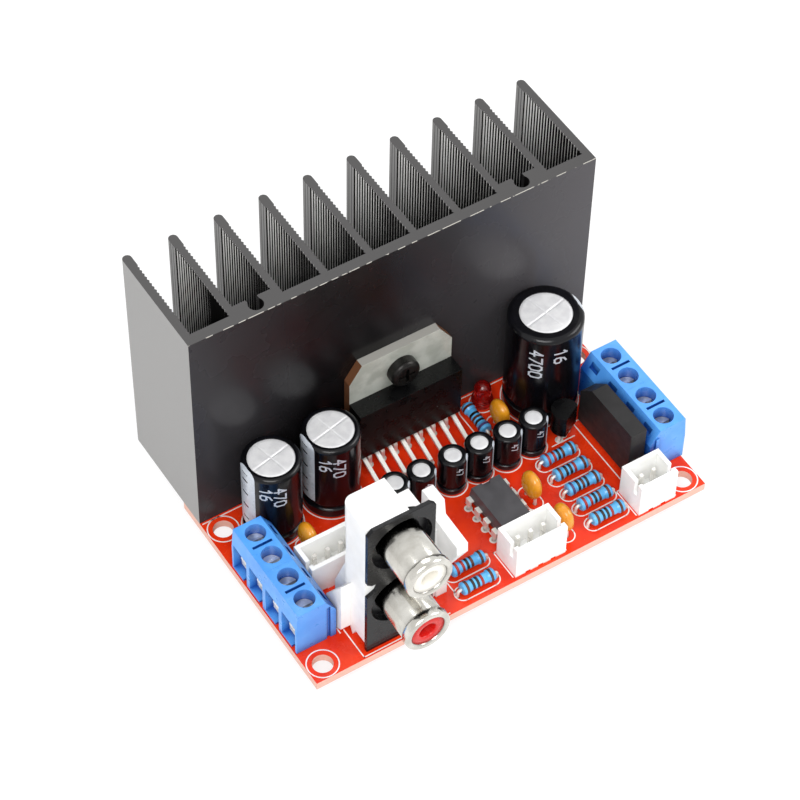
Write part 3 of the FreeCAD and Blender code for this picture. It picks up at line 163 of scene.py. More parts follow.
@dataclass(frozen=True)
class Finish:
    """One real material as it is on the object, with any painted shade, highlight or reflection given to it;
    every length is in millimetres.
    """

    name: str
    colour: str
    shade: str
    roughness: float
    metallic: float = 0.0
    ior: float | None = None
    coat: float = 0.0
    transmission: float = 0.0
    grain: Grain = Grain.MOULDED
    grain_mm: float = 0.2
    relief_mm: float = 0.004
    patch_mm: float = 3.0
    polish_spread: float = 0.08
    edge_mm: float = 0.08
    bare_or_lit_faces: tuple[BareOrLitFace, ...] = ()
    # Painted shade in holes and corners: its colour, and how far off cover is looked for.
    hollow_shade: str | None = None
    hollow_shade_mm: float = 2.0

    def build(self) -> bpy.types.Material:
        """Make the material's nodes.

        Returns:
            The material, named for what it is.
        """
        material = bpy.data.materials.new(self.name)
        material.use_nodes = True
        tree = material.node_tree
        shader = next(node for node in tree.nodes if node.type == "BSDF_PRINCIPLED")
        place = add_node(tree, "ShaderNodeTexCoord").outputs["Object"]
        colour = self.colouring(tree, place)
        polish = self.polish(tree, place)
        # Bare faces, and faces given a painted highlight or reflection, take their own colour and roughness.
        for picked_face in self.bare_or_lit_faces:
            mask = self.bare_or_lit_mask(tree, picked_face)
            colour = add_node(tree, "ShaderNodeMix", {".data_type": "RGBA", 7: linear(picked_face.colour)},
                              {0: mask, 6: colour}).outputs[2]
            polish = add_node(tree, "ShaderNodeMix", {3: picked_face.roughness}, {0: mask, 2: polish}).outputs[0]
        colour = self.painted_shade_and_wear(tree, place, colour)
        tree.links.new(colour, shader.inputs["Base Color"])
        tree.links.new(polish, shader.inputs["Roughness"])
        tree.links.new(self.relief(tree, place), shader.inputs["Normal"])
        shader.inputs["Metallic"].default_value = self.metallic
        shader.inputs["Coat Weight"].default_value = self.coat
        shader.inputs["Coat Roughness"].default_value = COAT_ROUGHNESS
        shader.inputs["Transmission Weight"].default_value = self.transmission
        if self.ior:
            shader.inputs["IOR"].default_value = self.ior
        return material

    def colouring(self, tree: Tree, place: Socket) -> Socket:
        """Soft patches between the colour and its shade, as handling and ageing leave them.

        Args:
            tree: the material's nodes.
            place: the spot on the object.

        Returns:
            The colour.
        """
        patches = add_node(tree, "ShaderNodeTexNoise", {"Scale": 1 / (self.patch_mm * MM), "Detail": 4.0},
                           {"Vector": place})
        share = add_node(tree, "ShaderNodeMapRange", {
            ".interpolation_type": "SMOOTHERSTEP", "From Min": PATCH_LIMITS[0], "From Max": PATCH_LIMITS[1]},
            {"Value": patches.outputs["Fac"]})
        return add_node(tree, "ShaderNodeMix", {
            ".data_type": "RGBA", 6: linear(self.colour), 7: linear(self.shade)},
            {0: share.outputs["Result"]}).outputs[2]

    def polish(self, tree: Tree, place: Socket) -> Socket:
        """Roughness that drifts a little over the surface.

        Args:
            tree: the material's nodes.
            place: the spot on the object.

        Returns:
            The roughness.
        """
        patches = add_node(tree, "ShaderNodeTexNoise", {
            "Scale": POLISH_PATCHES / (self.patch_mm * MM), "Detail": 3.0}, {"Vector": place})
        return add_node(tree, "ShaderNodeMapRange", {
            ".interpolation_type": "SMOOTHERSTEP", "From Min": POLISH_LIMITS[0], "From Max": POLISH_LIMITS[1],
            "To Min": max(self.roughness - self.polish_spread, LEAST_ROUGHNESS),
            "To Max": self.roughness + self.polish_spread},
            {"Value": patches.outputs["Fac"]}).outputs["Result"]

    def relief(self, tree: Tree, place: Socket) -> Socket:
        """Fine relief of the way that the surface was made, over slightly rounded edges.

        Args:
            tree: the material's nodes.
            place: the spot on the object.

        Returns:
            The surface's direction.
        """
        stretched = add_node(tree, "ShaderNodeVectorMath", {".operation": "MULTIPLY", 1: self.grain.value},
                             {0: place})
        grain = add_node(tree, "ShaderNodeTexNoise", {"Scale": 1 / (self.grain_mm * MM), "Detail": 3.0},
                         {"Vector": stretched.outputs["Vector"]})
        rounded = add_node(tree, "ShaderNodeBevel", {".samples": 4, "Radius": self.edge_mm * MM})
        return add_node(tree, "ShaderNodeBump", {
            "Strength": RELIEF_STRENGTH, "Distance": self.relief_mm * MM},
            {"Height": grain.outputs["Fac"], "Normal": rounded.outputs["Normal"]}).outputs["Normal"]

    def painted_shade_and_wear(self, tree: Tree, place: Socket, colour: Socket) -> Socket:
        """Painted shade: a deeper colour inside holes and corners, where the surface gets less light.

        Args:
            tree: the material's nodes.
            place: the spot on the object; not used here.
            colour: the colour so far.

        Returns:
            The changed colour.
        """
        # Painted shade, mixed in where ambient occlusion finds little open sky.
        if not self.hollow_shade:
            return colour
        depth = add_node(tree, "ShaderNodeAmbientOcclusion", {".samples": 6, "Distance": self.hollow_shade_mm * MM})
        open_sky = add_node(tree, "ShaderNodeMapRange", {
            "From Min": HOLLOW_SHADE_LIMITS[0], "From Max": HOLLOW_SHADE_LIMITS[1]}, {"Value": depth.outputs["AO"]})
        return add_node(tree, "ShaderNodeMix", {".data_type": "RGBA", 6: linear(self.hollow_shade)},
                        {0: open_sky.outputs["Result"], 7: colour}).outputs[2]

    def bare_or_lit_mask(self, tree: Tree, picked_face: BareOrLitFace) -> Socket:
        """Tell the picked faces, bare or given a painted highlight or reflection, from the rest.

        Args:
            tree: the material's nodes.
            picked_face: the faces to pick, bare or given a painted highlight or reflection.

        Returns:
            One on the picked faces and nought on the rest.
        """
        look = add_node(tree, "ShaderNodeNewGeometry").outputs["True Normal"]
        parts = add_node(tree, "ShaderNodeSeparateXYZ", None, {"Vector": look})
        along = parts.outputs[picked_face.axis.value]
        if picked_face.below is not None:
            against = add_node(tree, "ShaderNodeMath", {".operation": "LESS_THAN", 1: -picked_face.least}, {0: along})
            slanted = add_node(tree, "ShaderNodeMath", {".operation": "GREATER_THAN", 1: -picked_face.below},
                               {0: along})
            return add_node(tree, "ShaderNodeMath", {".operation": "MULTIPLY"},
                            {0: against.outputs["Value"], 1: slanted.outputs["Value"]}).outputs["Value"]
        steep = add_node(tree, "ShaderNodeMath", {".operation": "ABSOLUTE"}, {0: along})
        test = "LESS_THAN" if picked_face.across else "GREATER_THAN"
        return add_node(tree, "ShaderNodeMath", {".operation": test, 1: picked_face.least},
                        {0: steep.outputs["Value"]}).outputs["Value"]


@dataclass(frozen=True)
class Extrusion(Finish):
    """Anodised extrusion with a painted reflection that pales it towards the right end and at the left one,
    painted shade in its grooves, and a chipped edge along its front and top.
    """

    bare: str = "#b9b6ae"
    # Painted reflection: its colour, where it starts to lighten the right end, and its width and strength at
    # the left end.
    painted_reflection: str = "#4e4c4f"
    reflection_from_mm: float = -3.0
    left_reflection_width_mm: float = 22.0
    left_reflection_share: float = 0.45
    chip_mm: float = 0.09
    chip_length_mm: float = 1.7
    chip_limit: float = 0.49
    rib_start_mm: float = 20.75
    rib_end_mm: float = 39.4
    rib_pitch_mm: float = 0.7857
    root_groove: float = 0.62
    tip_groove: float = 0.2
    shade_from_mm: float = 35.5
    shade_share: float = 0.34
    boss_back_mm: float = 22.25
    skin_mm: float = 0.1
    # Colour of the painted shade in the ribs' grooves, the screw channels and near the fins' tips.
    groove_shade: str = "#0e0d0d"

    def colouring(self, tree: Tree, place: Socket) -> Socket:
        """The dye's patches under a painted reflection, which pales them towards the right end and at the
        left one.

        Args:
            tree: the material's nodes.
            place: the spot on the object.

        Returns:
            The colour.
        """
        dye = super().colouring(tree, place)
        parts = add_node(tree, "ShaderNodeSeparateXYZ", None, {"Vector": place})
        low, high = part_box("heatsink")
        # Painted reflection, lighter towards the right end and at the left end.
        right_reflection = add_node(tree, "ShaderNodeMapRange", {"From Min": self.reflection_from_mm * MM, "From Max": high.x},
                        {"Value": parts.outputs["X"]})
        left_reflection = add_node(tree, "ShaderNodeMapRange", {
            "From Min": low.x + self.left_reflection_width_mm * MM, "From Max": low.x, "To Max": self.left_reflection_share},
            {"Value": parts.outputs["X"]})
        both = add_node(tree, "ShaderNodeMath", {".operation": "ADD"},
                        {0: right_reflection.outputs["Result"], 1: left_reflection.outputs["Result"]})
        return add_node(tree, "ShaderNodeMix", {".data_type": "RGBA", 7: linear(self.painted_reflection)},
                        {0: both.outputs["Value"], 6: dye}).outputs[2]

    def painted_shade_and_wear(self, tree: Tree, place: Socket, colour: Socket) -> Socket:
        """Painted shade in black grooves between the ribs, and bright chips where the front face meets the
        sawn top.

        Args:
            tree: the material's nodes.
            place: the spot on the object.
            colour: the colour so far.

        Returns:
            The changed colour.
        """
        low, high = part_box("heatsink")
        parts = add_node(tree, "ShaderNodeSeparateXYZ", None, {"Vector": place})
        upper = add_node(tree, "ShaderNodeMath", {
            ".operation": "GREATER_THAN", 1: high.z - self.chip_mm * MM}, {0: parts.outputs["Z"]})
        front = add_node(tree, "ShaderNodeMath", {".operation": "LESS_THAN", 1: low.y + self.chip_mm * MM},
                         {0: parts.outputs["Y"]})
        corner = add_node(tree, "ShaderNodeMath", {".operation": "MULTIPLY"},
                          {0: upper.outputs["Value"], 1: front.outputs["Value"]})
        chips = add_node(tree, "ShaderNodeTexNoise", {"Scale": 1 / (self.chip_length_mm * MM), "Detail": 9.0},
                         {"Vector": place})
        hit = add_node(tree, "ShaderNodeMath", {".operation": "GREATER_THAN", 1: self.chip_limit},
                       {0: chips.outputs["Fac"]})
        bare = add_node(tree, "ShaderNodeMath", {".operation": "MULTIPLY"},
                        {0: corner.outputs["Value"], 1: hit.outputs["Value"]})
        return add_node(tree, "ShaderNodeMix", {".data_type": "RGBA", 7: linear(self.bare)},
                        {0: bare.outputs["Value"], 6: self.painted_groove_shade(tree, place, colour)}).outputs[2]

    def painted_groove_shade(self, tree: Tree, place: Socket, colour: Socket) -> Socket:
        """Paint shade into the ribs' grooves, onto the screw channels' walls and onto the flanks near the
        fins' tips.

        Args:
            tree: the material's nodes.
            place: the spot on the object.
            colour: the colour so far.

        Returns:
            The changed colour.
        """
        parts = add_node(tree, "ShaderNodeSeparateXYZ", None, {"Vector": place})
        depth = parts.outputs["Y"]
        # Painted shade in stripes along the ribs' grooves, narrower towards the fins' tips.
        turns = add_node(tree, "ShaderNodeMath", {".operation": "SUBTRACT", 1: self.rib_start_mm * MM},
                         {0: depth})
        phase = add_node(tree, "ShaderNodeMath", {".operation": "DIVIDE", 1: self.rib_pitch_mm * MM},
                         {0: turns.outputs["Value"]})
        share = add_node(tree, "ShaderNodeMath", {".operation": "FRACT"}, {0: phase.outputs["Value"]})
        width = add_node(tree, "ShaderNodeMapRange", {
            "From Min": self.rib_start_mm * MM, "From Max": self.rib_end_mm * MM,
            "To Min": self.root_groove, "To Max": self.tip_groove}, {"Value": depth})
        groove_shade = add_node(tree, "ShaderNodeMath", {".operation": "LESS_THAN"},
                          {0: share.outputs["Value"], 1: width.outputs["Result"]})
        ribbed = add_node(tree, "ShaderNodeMath", {".operation": "LESS_THAN", 1: self.rib_end_mm * MM},
                          {0: depth})
        striped = add_node(tree, "ShaderNodeMath", {".operation": "MULTIPLY"},
                           {0: groove_shade.outputs["Value"], 1: ribbed.outputs["Value"]})
        deep = add_node(tree, "ShaderNodeMath", {".operation": "LESS_THAN", 1: self.boss_back_mm * MM},
                        {0: depth})
        shade = add_node(tree, "ShaderNodeMapRange", {
            "From Min": self.shade_from_mm * MM, "From Max": self.rib_end_mm * MM,
            "To Max": self.shade_share}, {"Value": depth})
        dark = striped.outputs["Value"]
        for other in (deep.outputs["Value"], shade.outputs["Result"]):
            dark = add_node(tree, "ShaderNodeMath", {".operation": "MAXIMUM"},
                            {0: dark, 1: other}).outputs["Value"]
        low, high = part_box("heatsink")
        offset = add_node(tree, "ShaderNodeMath", {".operation": "ABSOLUTE"}, {0: parts.outputs["X"]})
        inner = add_node(tree, "ShaderNodeMath", {".operation": "LESS_THAN", 1: high.x - self.skin_mm * MM},
                         {0: offset.outputs["Value"]})
        sawn = self.bare_or_lit_mask(tree, BareOrLitFace(Axis.Z, self.groove_shade, self.roughness))
        wall = add_node(tree, "ShaderNodeMath", {".operation": "SUBTRACT", 0: 1.0}, {1: sawn})
        behind = add_node(tree, "ShaderNodeMath", {
            ".operation": "GREATER_THAN", 1: low.y + self.skin_mm * MM}, {0: depth})
        for where in (inner, wall, behind):
            dark = add_node(tree, "ShaderNodeMath", {".operation": "MULTIPLY"},
                            {0: dark, 1: where.outputs["Value"]}).outputs["Value"]
        return add_node(tree, "ShaderNodeMix", {".data_type": "RGBA", 7: linear(self.groove_shade)},
                        {0: dark, 6: colour}).outputs[2]


# Fibreglass laminate under glossy red solder mask: deep even red, pale sawn edges.
SOLDER_MASK = Finish("red solder mask on fibreglass", "#ee3a12", "#dc2c0c", 0.25, ior=1.35, coat=0.08,
                     grain_mm=1.1, relief_mm=0.01, patch_mm=5.0, polish_spread=0.05, edge_mm=0.05,
                     bare_or_lit_faces=(BareOrLitFace(Axis.Z, "#e8b7a6", 0.6, across=True),))
# Screen-printed epoxy ink: flat warm white, a little rough.
WHITE_INK = Finish("white screen printed ink", "#f6efec", "#e9dcd8", 0.5, ior=1.5, relief_mm=0.002)
# Black anodised extrusion: satin charcoal with die lines up its length and bare grey on its sawn top, with a
# painted highlight on the ribs' front flanks and a painted reflection greying the faces that look sideways.
ANODISED = Extrusion("black anodised aluminium", "#100f11", "#0a090a", 0.27, ior=1.24, grain=Grain.DRAWN_UP,
                     grain_mm=0.4, relief_mm=0.0004, patch_mm=14.0, polish_spread=0.04, edge_mm=0.02,
                     bare_or_lit_faces=(BareOrLitFace(Axis.Y, "#e6e5e3", 0.33, least=0.3, below=0.9),
                           BareOrLitFace(Axis.X, "#979695", 0.4, least=0.97), BareOrLitFace(Axis.Z, "#4a4949", 0.45)))
# Nickel-plated copper tab: satin light grey, reddish where it was sheared.
PLATED_TAB = Finish("nickel plated copper", "#cfd2c9", "#b4b8ae", 0.42, metallic=0.45,
                    grain=Grain.ROLLED_ACROSS, grain_mm=0.15, relief_mm=0.003, edge_mm=0.06,
                    bare_or_lit_faces=(BareOrLitFace(Axis.Y, "#b9b7b0", 0.4, across=True), BareOrLitFace(Axis.X, "#7f5338", 0.4)))
# Filled epoxy moulding compound: charcoal with a fine even grain from the mould.
EPOXY = Finish("black epoxy moulding compound", "#070708", "#0a0a0a", 0.3, ior=1.3, grain_mm=0.12,
               relief_mm=0.004, edge_mm=0.1)
# The same compound from a rougher mould: charcoal and dull.
DULL_EPOXY = Finish("charcoal epoxy moulding compound", "#222122", "#1d1c1d", 0.5, ior=1.4, grain_mm=0.12,
                    relief_mm=0.006, edge_mm=0.1)
# A small moulding that the mould polished and the light greys: mid charcoal.
GREY_EPOXY = Finish("grey black epoxy moulding compound", "#48474a", "#3f3e41", 0.4, ior=1.5, grain_mm=0.12,
                    relief_mm=0.004, edge_mm=0.1)
# Hot-dipped tin over copper: bright, softly uneven.
TINNED = Finish("tin plated copper", "#f5f3ee", "#e6e3dc", 0.34, metallic=0.35, grain_mm=0.25,
                relief_mm=0.003, edge_mm=0.04)
# Tin over soft brass: pale and satin, nearly white under even light.
TINNED_BRASS = Finish("tin plated brass", "#f5f5f3", "#e6e6e3", 0.45, metallic=0.25, grain_mm=0.2,
                      edge_mm=0.08)
SOLDER = Finish("solder", "#d2d1cd", "#b8b7b3", 0.22, metallic=1.0, grain_mm=0.4, relief_mm=0.01,
                edge_mm=0.02)
# Black oxide on steel: dark with soft shine.
BLACK_STEEL = Finish("black oxide steel", "#1c1b1b", "#2a2826", 0.33, metallic=0.8, grain_mm=0.2,
                     edge_mm=0.08)
# Zinc-plated steel: pale bluish grey metal.
ZINC = Finish("zinc plated steel", "#e3e6ea", "#a4a8ae", 0.2, metallic=0.6, grain_mm=0.9, relief_mm=0.2,
              edge_mm=0.07)
# Deep-drawn aluminium: light satin metal with spun lines on its top.
DRAWN_CAN = Finish("drawn aluminium", "#f0f0f1", "#e4e4e6", 0.45, metallic=0.35, grain=Grain.SPUN,
                   grain_mm=0.3, relief_mm=0.002, patch_mm=1.5, edge_mm=0.1)
# Shrunk PVC tube: glossy black film with faint waves where it shrank.
SLEEVE = Finish("shrunk black PVC", "#060608", "#0b0b10", 0.2, ior=1.36, grain_mm=2.2,
                relief_mm=0.03, patch_mm=4.0, polish_spread=0.05, edge_mm=0.1)
PRINTED_STRIPE = Finish("silver grey sleeve print", "#bfc5cd", "#b0b6bf", 0.3, ior=1.5, coat=0.4,
                        relief_mm=0.002)
RUBBER = Finish("butyl rubber", "#1a1a1a", "#222222", 0.7, ior=1.5, grain_mm=0.2)
# Dipped phenolic coat: thick glossy ochre skin that pools softly.
DIPPED_COAT = Finish("dipped phenolic resin", "#e39a22", "#d98a18", 0.25, ior=1.55, coat=0.3,
                     grain=Grain.DIPPED, grain_mm=1.6, relief_mm=0.05, patch_mm=2.0)
# Metal film resistor: sky-blue lacquer, thin and glossy.
BLUE_LACQUER = Finish("sky blue lacquer", "#5fb8ee", "#52a6e0", 0.28, ior=1.5, coat=0.3, grain_mm=0.7,
                      relief_mm=0.012, patch_mm=2.0, edge_mm=0.05)
NYLON = Finish("natural white nylon", "#fefefd", "#f8f8f5", 0.42, ior=1.53, grain_mm=0.25, relief_mm=0.004,
               edge_mm=0.15)
WHITE_ABS = Finish("white ABS", "#f3f3f2", "#ececeb", 0.4, ior=1.5, grain_mm=0.3, edge_mm=0.2)
BLACK_ABS = Finish("black ABS", "#07070a", "#0d0d11", 0.24, ior=1.34, grain_mm=0.25, edge_mm=0.12)
WHITE_INSERT = Finish("white PBT", "#f3f0e8", "#e8e4da", 0.3, ior=1.54, grain_mm=0.3, edge_mm=0.12)
RED_INSERT = Finish("red PBT", "#cf1a14", "#bd1411", 0.3, ior=1.54, grain_mm=0.3, edge_mm=0.12)
# Nickel-plated drawn brass: bright and slightly warm, with painted shade and a painted dark reflection where
# the barrels face the plate and each other.
NICKEL = Finish("nickel plated brass", "#dfddd6", "#c9c6be", 0.17, metallic=1.0, grain_mm=0.8,
                relief_mm=0.0015, polish_spread=0.04, edge_mm=0.2, hollow_shade="#1b1a19", hollow_shade_mm=6.0)
# Injection-moulded polyamide: saturated blue with satin sheen, and painted shade deepening the blue inside
# holes and openings.
BLUE_POLYAMIDE = Finish("blue polyamide", "#5aa5f4", "#4f9bee", 0.34, ior=1.5, grain_mm=0.2, relief_mm=0.004,
                        edge_mm=0.14, hollow_shade="#0d49a0", hollow_shade_mm=2.5)
# Tinted epoxy lens: dark red and clear, with a soft inside glow.
RED_LENS = Finish("red tinted epoxy", "#b01812", "#a01410", 0.08, ior=1.55, transmission=0.7, grain_mm=2.0,
                  relief_mm=0.002, polish_spread=0.02, edge_mm=0.05)
BAND_BLACK = Finish("black lacquer band", "#15120f", "#201b18", 0.3, ior=1.5, coat=0.3)
BAND_BROWN = Finish("brown lacquer band", "#5a2a16", "#4c2313", 0.3, ior=1.5, coat=0.3)
BAND_RED = Finish("red lacquer band", "#a3261c", "#922018", 0.3, ior=1.5, coat=0.3)
BAND_VIOLET = Finish("violet lacquer band", "#4b3a6c", "#41325f", 0.3, ior=1.5, coat=0.3)

CAD_FINISHES: dict[Finish, tuple[str, ...]] = {
    SOLDER_MASK: ("circuit_board",),
    ANODISED: ("heatsink",),
    PLATED_TAB: ("amp_chip_tab",),
    EPOXY: ("amp_chip_body", "regulator_body"),
    DULL_EPOXY: ("bridge_rectifier_body",),
    GREY_EPOXY: ("preamp_chip_body",),
    TINNED: ("amp_chip_leads", "bridge_rectifier_leads", "capacitor_leads", "ceramic_capacitor_leads",
             "header_pins", "indicator_leads", "jack_contacts", "preamp_chip_leads", "regulator_leads",
             "resistor_leads"),
    TINNED_BRASS: ("terminal_contacts",) + tuple(f"terminal_cage_{number}" for number in range(1, 9)),
    SOLDER: ("solder_joints",),
    BLACK_STEEL: ("chip_screw",),
    ZINC: ("heatsink_screws",) + tuple(f"terminal_screw_{number}" for number in range(1, 9)),
    DRAWN_CAN: ("supply_capacitor_can", "output_capacitor_cans", "small_capacitor_cans"),
    SLEEVE: ("supply_capacitor_sleeve", "output_capacitor_sleeves", "small_capacitor_sleeves"),
    RUBBER: ("capacitor_bungs",),
    DIPPED_COAT: ("ceramic_capacitors",),
    BLUE_LACQUER: ("resistors",),
    NYLON: ("left_header", "front_header", "right_header"),
    WHITE_ABS: ("jack_housing",),
    BLACK_ABS: ("jack_plate",),
    WHITE_INSERT: ("jack_insert_upper",),
    RED_INSERT: ("jack_insert_lower",),
    NICKEL: ("jack_shell_upper", "jack_shell_lower"),
    BLUE_POLYAMIDE: tuple(f"terminal_housing_{number}" for number in range(1, 5)),
    RED_LENS: ("indicator_lens",),
}


class Workshop:
    """Keeps the materials made so far and turns points and faces into pieces."""

    def __init__(self) -> None:
        """Start with no material."""
        self.materials: dict[str, bpy.types.Material] = {}

    def material(self, finish: Finish) -> bpy.types.Material:
        """The material of a finish, made at its first use.

        Args:
            finish: what it is made of.

        Returns:
            The material.
        """
        if finish.name not in self.materials:
            self.materials[finish.name] = finish.build()
        return self.materials[finish.name]

    def dress(self, node: str, finish: Finish) -> None:
        """Give a CAD node its finish.

        Args:
            node: name of the CAD node.
            finish: what it is made of.
        """
        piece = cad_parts[node]
        piece.data.materials.clear()
        piece.data.materials.append(self.material(finish))

    def piece(self, name: str, points: list[Vector], faces: list[Face], finish: Finish,
              smooth: bool = False) -> bpy.types.Object:
        """Make one mesh piece on the board.

        Args:
            name: the piece's name.
            points: corners in metres, in the part's frame.
            faces: corner numbers of each face.
            finish: what it is made of.
            smooth: shades it as a curved surface.

        Returns:
            The new object.
        """
        mesh = bpy.data.meshes.new(name)
        mesh.from_pydata([tuple(point) for point in points], [], faces)
        mesh.validate()
        mesh.polygons.foreach_set("use_smooth", [smooth] * len(mesh.polygons))
        made = bpy.data.objects.new(name, mesh)
        bpy.context.scene.collection.objects.link(made)
        mesh.materials.append(self.material(finish))
        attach(made, BOARD_BODY)
        log.info("%s: %d faces", name, len(faces))
        return made


@dataclass
class Solid:
    """Corners of one loose solid of a CAD node, in metres."""

    low: Vector
    high: Vector

    @property
    def middle(self) -> Vector:
        """Centre of the solid's box."""
        return (self.low + self.high) / 2

    @property
    def size(self) -> Vector:
        """Length of the solid's box on each axis."""
        return self.high - self.low

    @property
    def along(self) -> int:
        """Axis number of the longer side, 0 for X and 1 for Y."""
        return 0 if self.size.x > self.size.y else 1

    def around(self, radius: float, turn: float, height: float) -> Vector:
        """A point at a radius and an angle in radians from the upright middle line."""
        middle = self.middle
        return Vector((middle.x + radius * math.cos(turn), middle.y + radius * math.sin(turn), height))


def loose_solids(node: str) -> list[Solid]:
    """Split a CAD node into its loose solids.

    Args:
        node: name of the CAD node.

    Returns:
        The solids' boxes, from left to right.
    """
    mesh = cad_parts[node].data
    spots: dict[tuple[int, ...], int] = {}
    owner = [spots.setdefault(tuple(round(part * 1e6) for part in vertex.co), vertex.index)
             for vertex in mesh.vertices]

    def root(number: int) -> int:
        """First vertex of the solid that a vertex is in.

        Args:
            number: the vertex to start from.

        Returns:
            The solid's first vertex.
        """
        while owner[number] != number:
            owner[number] = owner[owner[number]]
            number = owner[number]
        return number

    for edge in mesh.edges:
        first, second = (root(number) for number in edge.vertices)
        owner[second] = first
    found: dict[int, list[Vector]] = {}
    for vertex in mesh.vertices:
        found.setdefault(root(vertex.index), []).append(vertex.co)
    solids = [Solid(Vector([min(point[axis] for point in points) for axis in range(3)]),
                    Vector([max(point[axis] for point in points) for axis in range(3)]))
              for points in found.values()]
    return sorted(solids, key=lambda solid: solid.middle.x)


def woven(rings: int, steps: int, start: int = 0) -> list[Face]:
    """Join neighbouring closed rings of points.

    Args:
        rings: how many rings there are.
        steps: points on each ring.
        start: number of the first point.

    Returns:
        The faces, ring by ring.
    """
    return [tuple(start + corner for corner in (
        ring * steps + step, ring * steps + (step + 1) % steps,
        (ring + 1) * steps + (step + 1) % steps, (ring + 1) * steps + step))
            for ring in range(rings - 1) for step in range(steps)]


def revolved(profile: list[Point], steps: int) -> tuple[list[Vector], list[Face]]:
    """Turn a profile of radius and height round the Z axis.

    Args:
        profile: radius and height of each ring of points, in metres.
        steps: points on each ring.

    Returns:
        The points and the faces between neighbouring rings.
    """
    turns = [2 * math.pi * step / steps for step in range(steps)]
    points = [Vector((radius * math.cos(turn), radius * math.sin(turn), height))
              for radius, height in profile for turn in turns]
    return points, woven(len(profile), steps)


# Straight pieces that an arc is drawn with: degrees for each, and the fewest.
ARC_STEP = 7
LEAST_ARC_STEPS = 4


class Sheet:
    """Flat marks that lie on one level, gathered into a single mesh; lengths are in metres."""

    def __init__(self, level: float) -> None:
        """Start an empty sheet at a height in metres.

        Args:
            level: height in metres.
        """
        self.level = level
        self.points: list[Vector] = []
        self.faces: list[Face] = []

    def strip(self, left: list[Point], right: list[Point], closed: bool = False) -> None:
        """Fill the band between two lines of as many points.

        Args:
            left: the points on one side.
            right: the points on the other side.
            closed: joins the last point to the first.
        """
        start = len(self.points)
        for pair in zip(left, right):
            self.points += [Vector((x, y, self.level)) for x, y in pair]
        count = len(left)
        for number in range(count if closed else count - 1):
            here, there = start + 2 * number, start + 2 * ((number + 1) % count)
            self.faces.append((here, here + 1, there + 1, there))

    def arc(self, x: float, y: float, radius: float, width: float, start: float = 0.0,
            sweep: float = 360.0) -> None:
        """Draw a ring or part of one, with angles in degrees.

        Args:
            x: place on X.
            y: place on Y.
            radius: radius of the line's middle.
            width: width of the line.
            start: where it starts.
            sweep: how far it goes round.
        """
        steps = max(int(sweep / ARC_STEP), LEAST_ARC_STEPS)
        turns = [math.radians(start + sweep * number / steps) for number in range(steps + 1)]
        closed = sweep >= 360
        turns = turns[:-1] if closed else turns
        rims = [[(x + reach * math.cos(turn), y + reach * math.sin(turn)) for turn in turns]
                for reach in (radius + width / 2, radius - width / 2)]
        self.strip(rims[1], rims[0], closed)

    def line(self, start: Point, end: Point, width: float) -> None:
        """Draw a straight line with square ends.

        Args:
            start: where it starts.
            end: where it ends.
            width: width of the line.
        """
        along = Vector((end[0] - start[0], end[1] - start[1])).normalized() * width / 2
        side = Vector((-along.y, along.x))
        first = Vector(start) - along
        last = Vector(end) + along
        self.strip([tuple(first + side), tuple(last + side)], [tuple(first - side), tuple(last - side)])

    def path(self, corners: list[Point], width: float, closed: bool = False) -> None:
        """Draw straight lines through corners.

        Args:
            corners: the corners in order.
            width: width of the line.
            closed: joins the last point to the first.
        """
        ends = corners[1:] + corners[:1] if closed else corners[1:]
        for start, end in zip(corners, ends):
            self.line(start, end, width)


